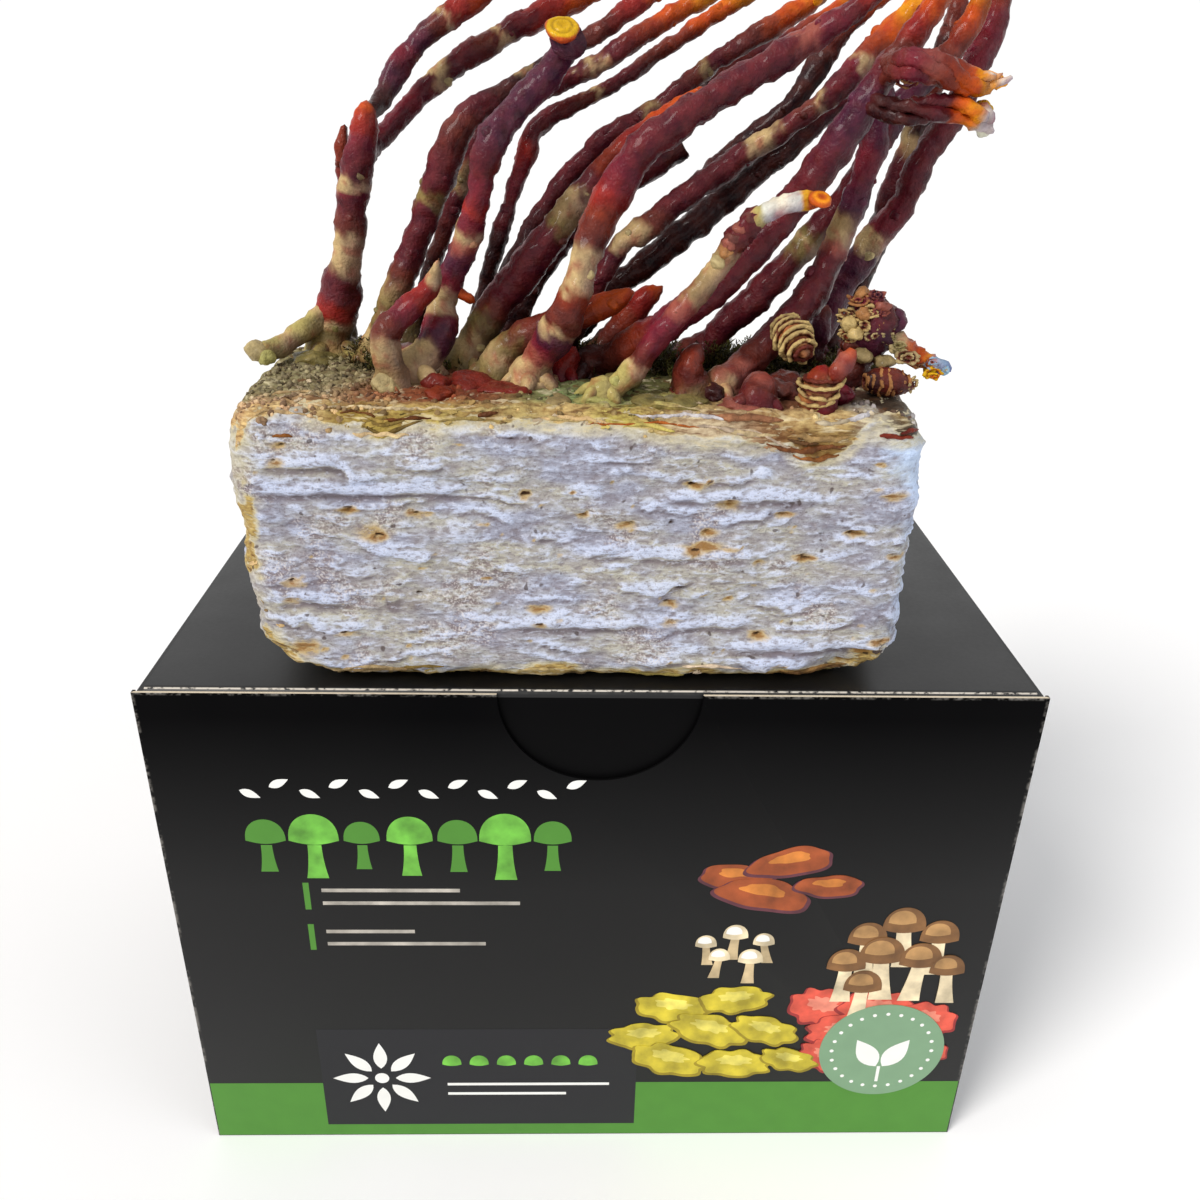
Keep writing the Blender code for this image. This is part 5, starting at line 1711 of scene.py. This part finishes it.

# %% [markdown]
# ## Black card
#
# The coating is a satin black. Seen straight on it is nearly black, and seen at a low angle, as the lid is,
# it takes the grey of the sky. The walls' black is painted lighter low down and darkest at the top, a painted
# reflection of the pale floor. Its edges are scuffed where the black has worn off the pale core, and light
# scratches cross it. A pale line painted along the lid's front crease is its painted highlight. The cut edge
# along the front's top shows the cream core itself.

# %% Card material
def card_material(name, shine, low_coat, crease=0.0):
    """The black coating: its plain shine, how much varnish the lower part of the walls has over it, and how
    strong a painted highlight runs along the lid's front crease."""
    made, tree, sockets = new_material(name)
    where = add(tree, "TexCoord").outputs["Object"]
    axes = add(tree, "SeparateXYZ")
    join(tree, (where, axes.inputs[0]))
    high = axes.outputs["Z"]
    wide = math_node(tree, "ABSOLUTE", axes.outputs["X"], 0.0)
    cloud = noise_node(tree, where, 18.0, 3.0)
    scuff = noise_node(tree, where, 620.0, 4.0)
    broad = noise_node(tree, where, 70.0, 3.0)
    side_edge = remap(tree, wide, WALL_HIGH.x - 1.3 * MM, WALL_HIGH.x - 0.2 * MM)
    deep = math_node(tree, "ABSOLUTE", axes.outputs["Y"], 0.0)
    front_edge = remap(tree, deep, BACK_Y - 2.6 * MM, BACK_Y - 0.6 * MM)
    corner = times(tree, side_edge, front_edge)
    upper = times(tree, remap(tree, high, LID_HIGH.z - 1.4 * MM, LID_HIGH.z - 0.5 * MM), front_edge)
    worn = math_node(tree, "MAXIMUM", corner, upper)
    worn = times(tree, worn, remap(tree, plus(tree, scuff, broad), 0.98, 1.2))
    at_front = remap(tree, axes.outputs["Y"], LID_LOW.y + 1.8 * MM, LID_LOW.y + 2.0 * MM, 1.0, 0.0)
    # Painted highlight: a pale line along the top of the lid's front crease, broken up by the scuff noise
    line = times(tree, remap(tree, high, LID_HIGH.z - 0.65 * MM, LID_HIGH.z - 0.52 * MM),
                     remap(tree, high, LID_HIGH.z - 0.32 * MM, LID_HIGH.z - 0.2 * MM, crease, 0.0))
    line = times(tree, times(tree, line, at_front), remap(tree, scuff, 0.36, 0.5))
    sockets["Specular IOR Level"].default_value = shine
    sockets["Coat Roughness"].default_value = 0.44
    join(tree, (remap(tree, high, 0.12, 0.188, low_coat, 0.0), sockets["Coat Weight"]))
    # Painted reflection: the walls' black is painted lighter low down, as if it took the pale floor, and darkest at the
    # top
    black = mix_colours(tree, remap(tree, high, 0.05, 0.19), tint(24, 24, 24), tint(3, 3, 4))
    black = mix_colours(tree, times(tree, cloud, 0.3), black, tint(24, 23, 23))
    card_colour = mix_colours(tree, times(tree, worn, 0.6), black, tint(150, 146, 140))
    card_colour = mix_colours(tree, line, card_colour, tint(216, 208, 196))
    dull = remap(tree, plus(tree, cloud, times(tree, scuff, 0.3)), 0.4, 0.9, 0.36, 0.52)
    fibres = add(tree, "Bump", Distance=0.05 * MM, Strength=0.35)
    join(tree, (scuff, fibres.inputs["Height"]), (fibres.outputs["Normal"], sockets["Normal"]),
         (card_colour, sockets["Base Color"]), (dull, sockets["Roughness"]))
    return made


card = card_material("black card", 0.02, 0.4)
lid_card = card_material("black card of the lid", 0.38, 0.0, 0.9)
# The tuck flap is the lid's own card with its shine turned down, a shaded copy that stands darker in the notch
shaded_tuck_card = card_material("black card in the notch", 0.03, 0.0, 0.9)

core, tree, sockets = new_material("card core", 0.85)
where = add(tree, "TexCoord").outputs["Object"]
core_colour = mix_colours(tree, noise_node(tree, where, 900.0, 2.0), tint(226, 214, 192), tint(196, 180, 156))
join(tree, (core_colour, sockets["Base Color"]))

for piece in (walls, lid, *flaps.values()):
    for paint in (card if piece is walls else lid_card, core, shaded_tuck_card):
        piece.data.materials.append(paint)
    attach(piece, "root")
raw = 0
for face in walls.data.polygons:
    up = face.normal.z > 0.9 and face.center.z > SIDE_TOP - CARD
    if up and abs(face.center.x) < RAW_EDGE_REACH and face.center.y < 0.0:
        face.material_index = 1
        raw += 1
for face in lid.data.polygons:
    cut = abs(face.normal.x) > 0.9 or (face.normal.z < -0.9 and face.center.y < 0.0)
    # Faces of the tuck flap below the lid take the shaded copy of the lid's card
    face.material_index = 1 if cut else 2 if face.normal.y < -0.9 and face.center.z < LID_HIGH.z - 2 * CARD else 0
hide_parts("front_wall", "back_wall", "left_wall", "right_wall")
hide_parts("lid")
for name in FLAPS:
    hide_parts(name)
print("card laid on, raw faces:", raw)

# %% [markdown]
# ## The print on the front
#
# The front is printed with bright flat pictures on the black. Ink has no thickness that shows, yet each
# colour lies over the one before it, so each motif is drawn as an outline and made a film a few hundredths
# of a millimetre thick. Its outlines stay crisp close up, which painted vertices would not. The motifs are
# general ones: caps on stems, ruffled fans, leaves, rules, a disc with a ring of dots.

# %% Print shapes
FILM = 0.014 * MM
FRONT_Y = WALL_LOW.y
INKS = {
    "green": (76, 136, 46), "leaf": (104, 176, 62), "sage": (124, 158, 125), "white": (238, 238, 234),
    "yellow": (196, 178, 48), "mustard": (150, 132, 26), "lemon": (222, 208, 96), "coral": (214, 84, 66),
    "rose": (236, 134, 112), "wine": (150, 44, 44), "tan": (176, 134, 84), "brown": (122, 84, 48),
    "cream": (226, 208, 172), "sand": (196, 174, 134), "rust": (150, 72, 34), "plum": (92, 46, 56),
    "amber": (198, 120, 50), "soot": (24, 24, 28), "grey": (176, 170, 160)}
films = []
ink_paints = {}
for name, tone in INKS.items():
    ink_paints[name], tree, sockets = new_material(name + " ink", 0.45)
    where = add(tree, "TexCoord").outputs["Object"]
    cloud = remap(tree, noise_node(tree, where, 120.0, 4.0), 0.3, 0.7)
    darker = [int(c * 0.78) for c in tone]
    lighter = [min(int(c * 1.12) + 4, 255) for c in tone]
    if name in ("green", "white", "sage", "soot"):
        darker, lighter = [int(c * 0.97) for c in tone], tone
    join(tree, (mix_colours(tree, cloud, tint(*darker), tint(*lighter)), sockets["Base Color"]))
    sockets["Specular IOR Level"].default_value = 0.3


def print_film(ink, level, *outlines):
    """One colour of ink: closed outlines in millimetres to the right and up; an inner outline is a hole."""
    nothing_selected()
    bpy.ops.curve.primitive_bezier_circle_add(location=(0.0, 0.0, 0.0))
    film = bpy.context.object
    film.data.dimensions = "2D"
    film.data.fill_mode = "BOTH"
    film.data.splines.clear()
    for outline in outlines:
        spline = film.data.splines.new("POLY")
        spline.points.add(len(outline) - 1)
        for drawn, (x, z) in zip(spline.points, outline):
            drawn.co = (x * MM, z * MM, 0.0, 1.0)
        spline.use_cyclic_u = True
    film.data.extrude = FILM * (level + 1) / 2
    film.rotation_euler = (math.pi / 2, 0.0, 0.0)
    film.location = (0.0, FRONT_Y - film.data.extrude, 0.0)
    bpy.ops.object.convert(target="MESH")
    film.data.materials.clear()
    film.data.materials.append(ink_paints[ink])
    films.append(film)


def turned(points, x, z, degrees=0.0, scale=1.0):
    """An outline moved to its place, turned and scaled."""
    cos, sin = math.cos(math.radians(degrees)) * scale, math.sin(math.radians(degrees)) * scale
    return [(x + px * cos - pz * sin, z + px * sin + pz * cos) for px, pz in points]


def disc(radius, count=48):
    turns = [2 * math.pi * k / count for k in range(count)]
    return [(radius * math.cos(turn), radius * math.sin(turn)) for turn in turns]


def rule(width, height):
    return [(0.0, 0.0), (width, 0.0), (width, height), (0.0, height)]


def cap(width, height):
    """A mushroom cap from the side: a dome with a rolled lower edge."""
    top = [(width / 2 * math.cos(math.pi * k / 20), height * math.sin(math.pi * k / 20) ** 0.8) for k in range(21)]
    under = [(-width / 2 + width * k / 8, -0.16 * height * math.sin(math.pi * k / 8)) for k in range(1, 8)]
    return top + under


def stalk(width, height, lean=0.0):
    left = [(-width * (0.5 + 0.3 * (k / 6) ** 2) + lean * k / 6, -height * k / 6) for k in range(7)]
    right = [(width * (0.5 + 0.3 * (k / 6) ** 2) + lean * k / 6, -height * k / 6) for k in range(6, -1, -1)]
    return left + right


def ruffle(radius, flat, waves, depth, phase=0.0):
    """A ruffled fan, seen from above and to the side."""
    points = []
    for k in range(72):
        turn = 2 * math.pi * k / 72
        reach = radius * (1.0 + depth * math.sin(waves * turn + phase) + 0.5 * depth * math.sin((waves + 3) * turn))
        points.append((reach * math.cos(turn), flat * reach * math.sin(turn)))
    return points


def leaf(length, width):
    side = [(length * k / 10, width / 2 * math.sin(math.pi * (k / 10) ** 0.8)) for k in range(11)]
    return side + [(x, -z) for x, z in side[-2:0:-1]]


# %% [markdown]
# The layout keeps the scale and the colours of the printed front: bold green across the upper left, short
# white rules under it, a dark panel with a white ornament at the lower left, bright mushrooms at the right
# and a green band along the foot.

# %% Print the front
dice = random.Random(7)
print_film("green", 0, turned(rule(279.0, 28.0), -139.5, 0.4))
for index, size in enumerate((1.0, 1.25, 0.9, 1.15, 1.0, 1.3, 0.95)):
    x = -106 + index * 15.5
    print_film("leaf" if index % 2 else "green", 0, turned(cap(13, 8.5), x, 141, 0, size),
               turned(stalk(3.6, 11), x, 139.2, 0, size))
print_film("white", 0, *[turned(leaf(7, 3.0), -112 + k * 9.4, 161 + (k % 2) * 1.2, 25 if k % 2 else -25)
                         for k in range(12)])
for x, z, lengths in ((-96, 112, (46, 66)), (-96, 94, (30, 54))):
    print_film("green", 0, turned(rule(2.0, 11.5), x, z))
    print_film("grey", 0, *[turned(rule(length, 1.5), x + 6, z + 7.5 - row * 5.5)
                            for row, length in enumerate(lengths)])
print_film("soot", 1, turned(rule(116, 50), -98, 6))
for k, (x, z) in enumerate(disc(5, 8)):
    print_film("white", 2, turned(leaf(13, 5), -76 + x, 31 + z, k * 45))
print_film("soot", 3, turned(disc(4.4), -76, 31))
print_film("white", 4, turned(disc(2.6), -76, 31))
print_film("leaf", 2, *[turned(cap(7, 4.6), -50 + k * 10, 38) for k in range(6)])
print_film("white", 2, *[turned(rule(width, 1.3), -52, 27 - row * 5) for row, width in enumerate((60, 44))])


def print_fans(inks, places, waves, flat):
    """A cluster of ruffled fans, each over the one before it, with a darker rim and a paler heart."""
    dark, main, pale = inks
    for index, (x, z, size) in enumerate(places):
        level, turn = 4 + 3 * (index % 8), dice.uniform(-20, 20)
        phase = dice.uniform(0, 6)
        for step, (ink, share, rise, low, depth) in enumerate((
                (dark, 1.0, 0.0, 1.0, 0.07), (main, 0.92, 0.05, 1.0, 0.08), (pale, 0.45, 0.16, 0.8, 0.12))):
            fan = ruffle(size * share, flat * low, waves, depth, phase)
            print_film(ink, level + step, turned(fan, x, z + size * rise, turn))


def print_caps(inks, places):
    """A cluster of round caps on pale stalks."""
    for index, (x, z, size) in enumerate(places):
        level = 4 + 3 * (index % 8)
        print_film(inks[2], level, turned(stalk(size * 0.42, size * 1.5, dice.uniform(-2, 2)), x, z))
        print_film(inks[0], level + 1, turned(cap(size * 1.25, size * 0.82), x, z - size * 0.06))
        print_film(inks[1], level + 2, turned(cap(size * 0.8, size * 0.45), x - size * 0.08, z + size * 0.2))


print_fans(("mustard", "yellow", "lemon"), [(30, 66, 14), (52, 70, 13), (20, 52, 13), (44, 55, 15), (64, 55, 13),
                                            (30, 40, 15), (54, 38, 14), (74, 40, 11)], 7, 0.5)
print_caps(("brown", "tan", "cream"), [(96, 98, 11), (108, 104, 12), (121, 99, 11), (90, 86, 11), (102, 90, 13),
                                       (116, 88, 12), (126, 84, 10), (97, 76, 11)])
print_fans(("wine", "coral", "rose"), [(84, 66, 13), (104, 64, 15), (122, 60, 12), (92, 54, 13), (114, 50, 14),
                                       (88, 42, 11), (100, 40, 12), (124, 44, 9)], 9, 0.72)
print_fans(("plum", "rust", "amber"), [(48, 126, 13), (66, 132, 15), (58, 118, 17), (80, 122, 12)], 3, 0.4)
print_caps(("cream", "white", "sand"), [(40, 96, 6), (50, 100, 7), (60, 97, 6), (45, 90, 6), (56, 89, 7)])
print_film("sage", 30, turned(disc(23, 96), 108, 45))
print_film("white", 31, *[turned(disc(0.75, 16), 108 + x, 45 + z) for x, z in disc(18.5, 24)])
print_film("white", 31, turned(leaf(16, 8), 109.2, 37, 58))
print_film("white", 31, turned(leaf(16, 8), 106.8, 37, 122))
print_film("white", 31, turned(rule(1.2, 8), 107.4, 29))

front_print, *rest = films
join_into(front_print, rest)
front_print.name = "front_print"
settle(front_print)
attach(front_print, "root")
print("front print:", len(front_print.data.polygons), "faces in", len(INKS), "inks")
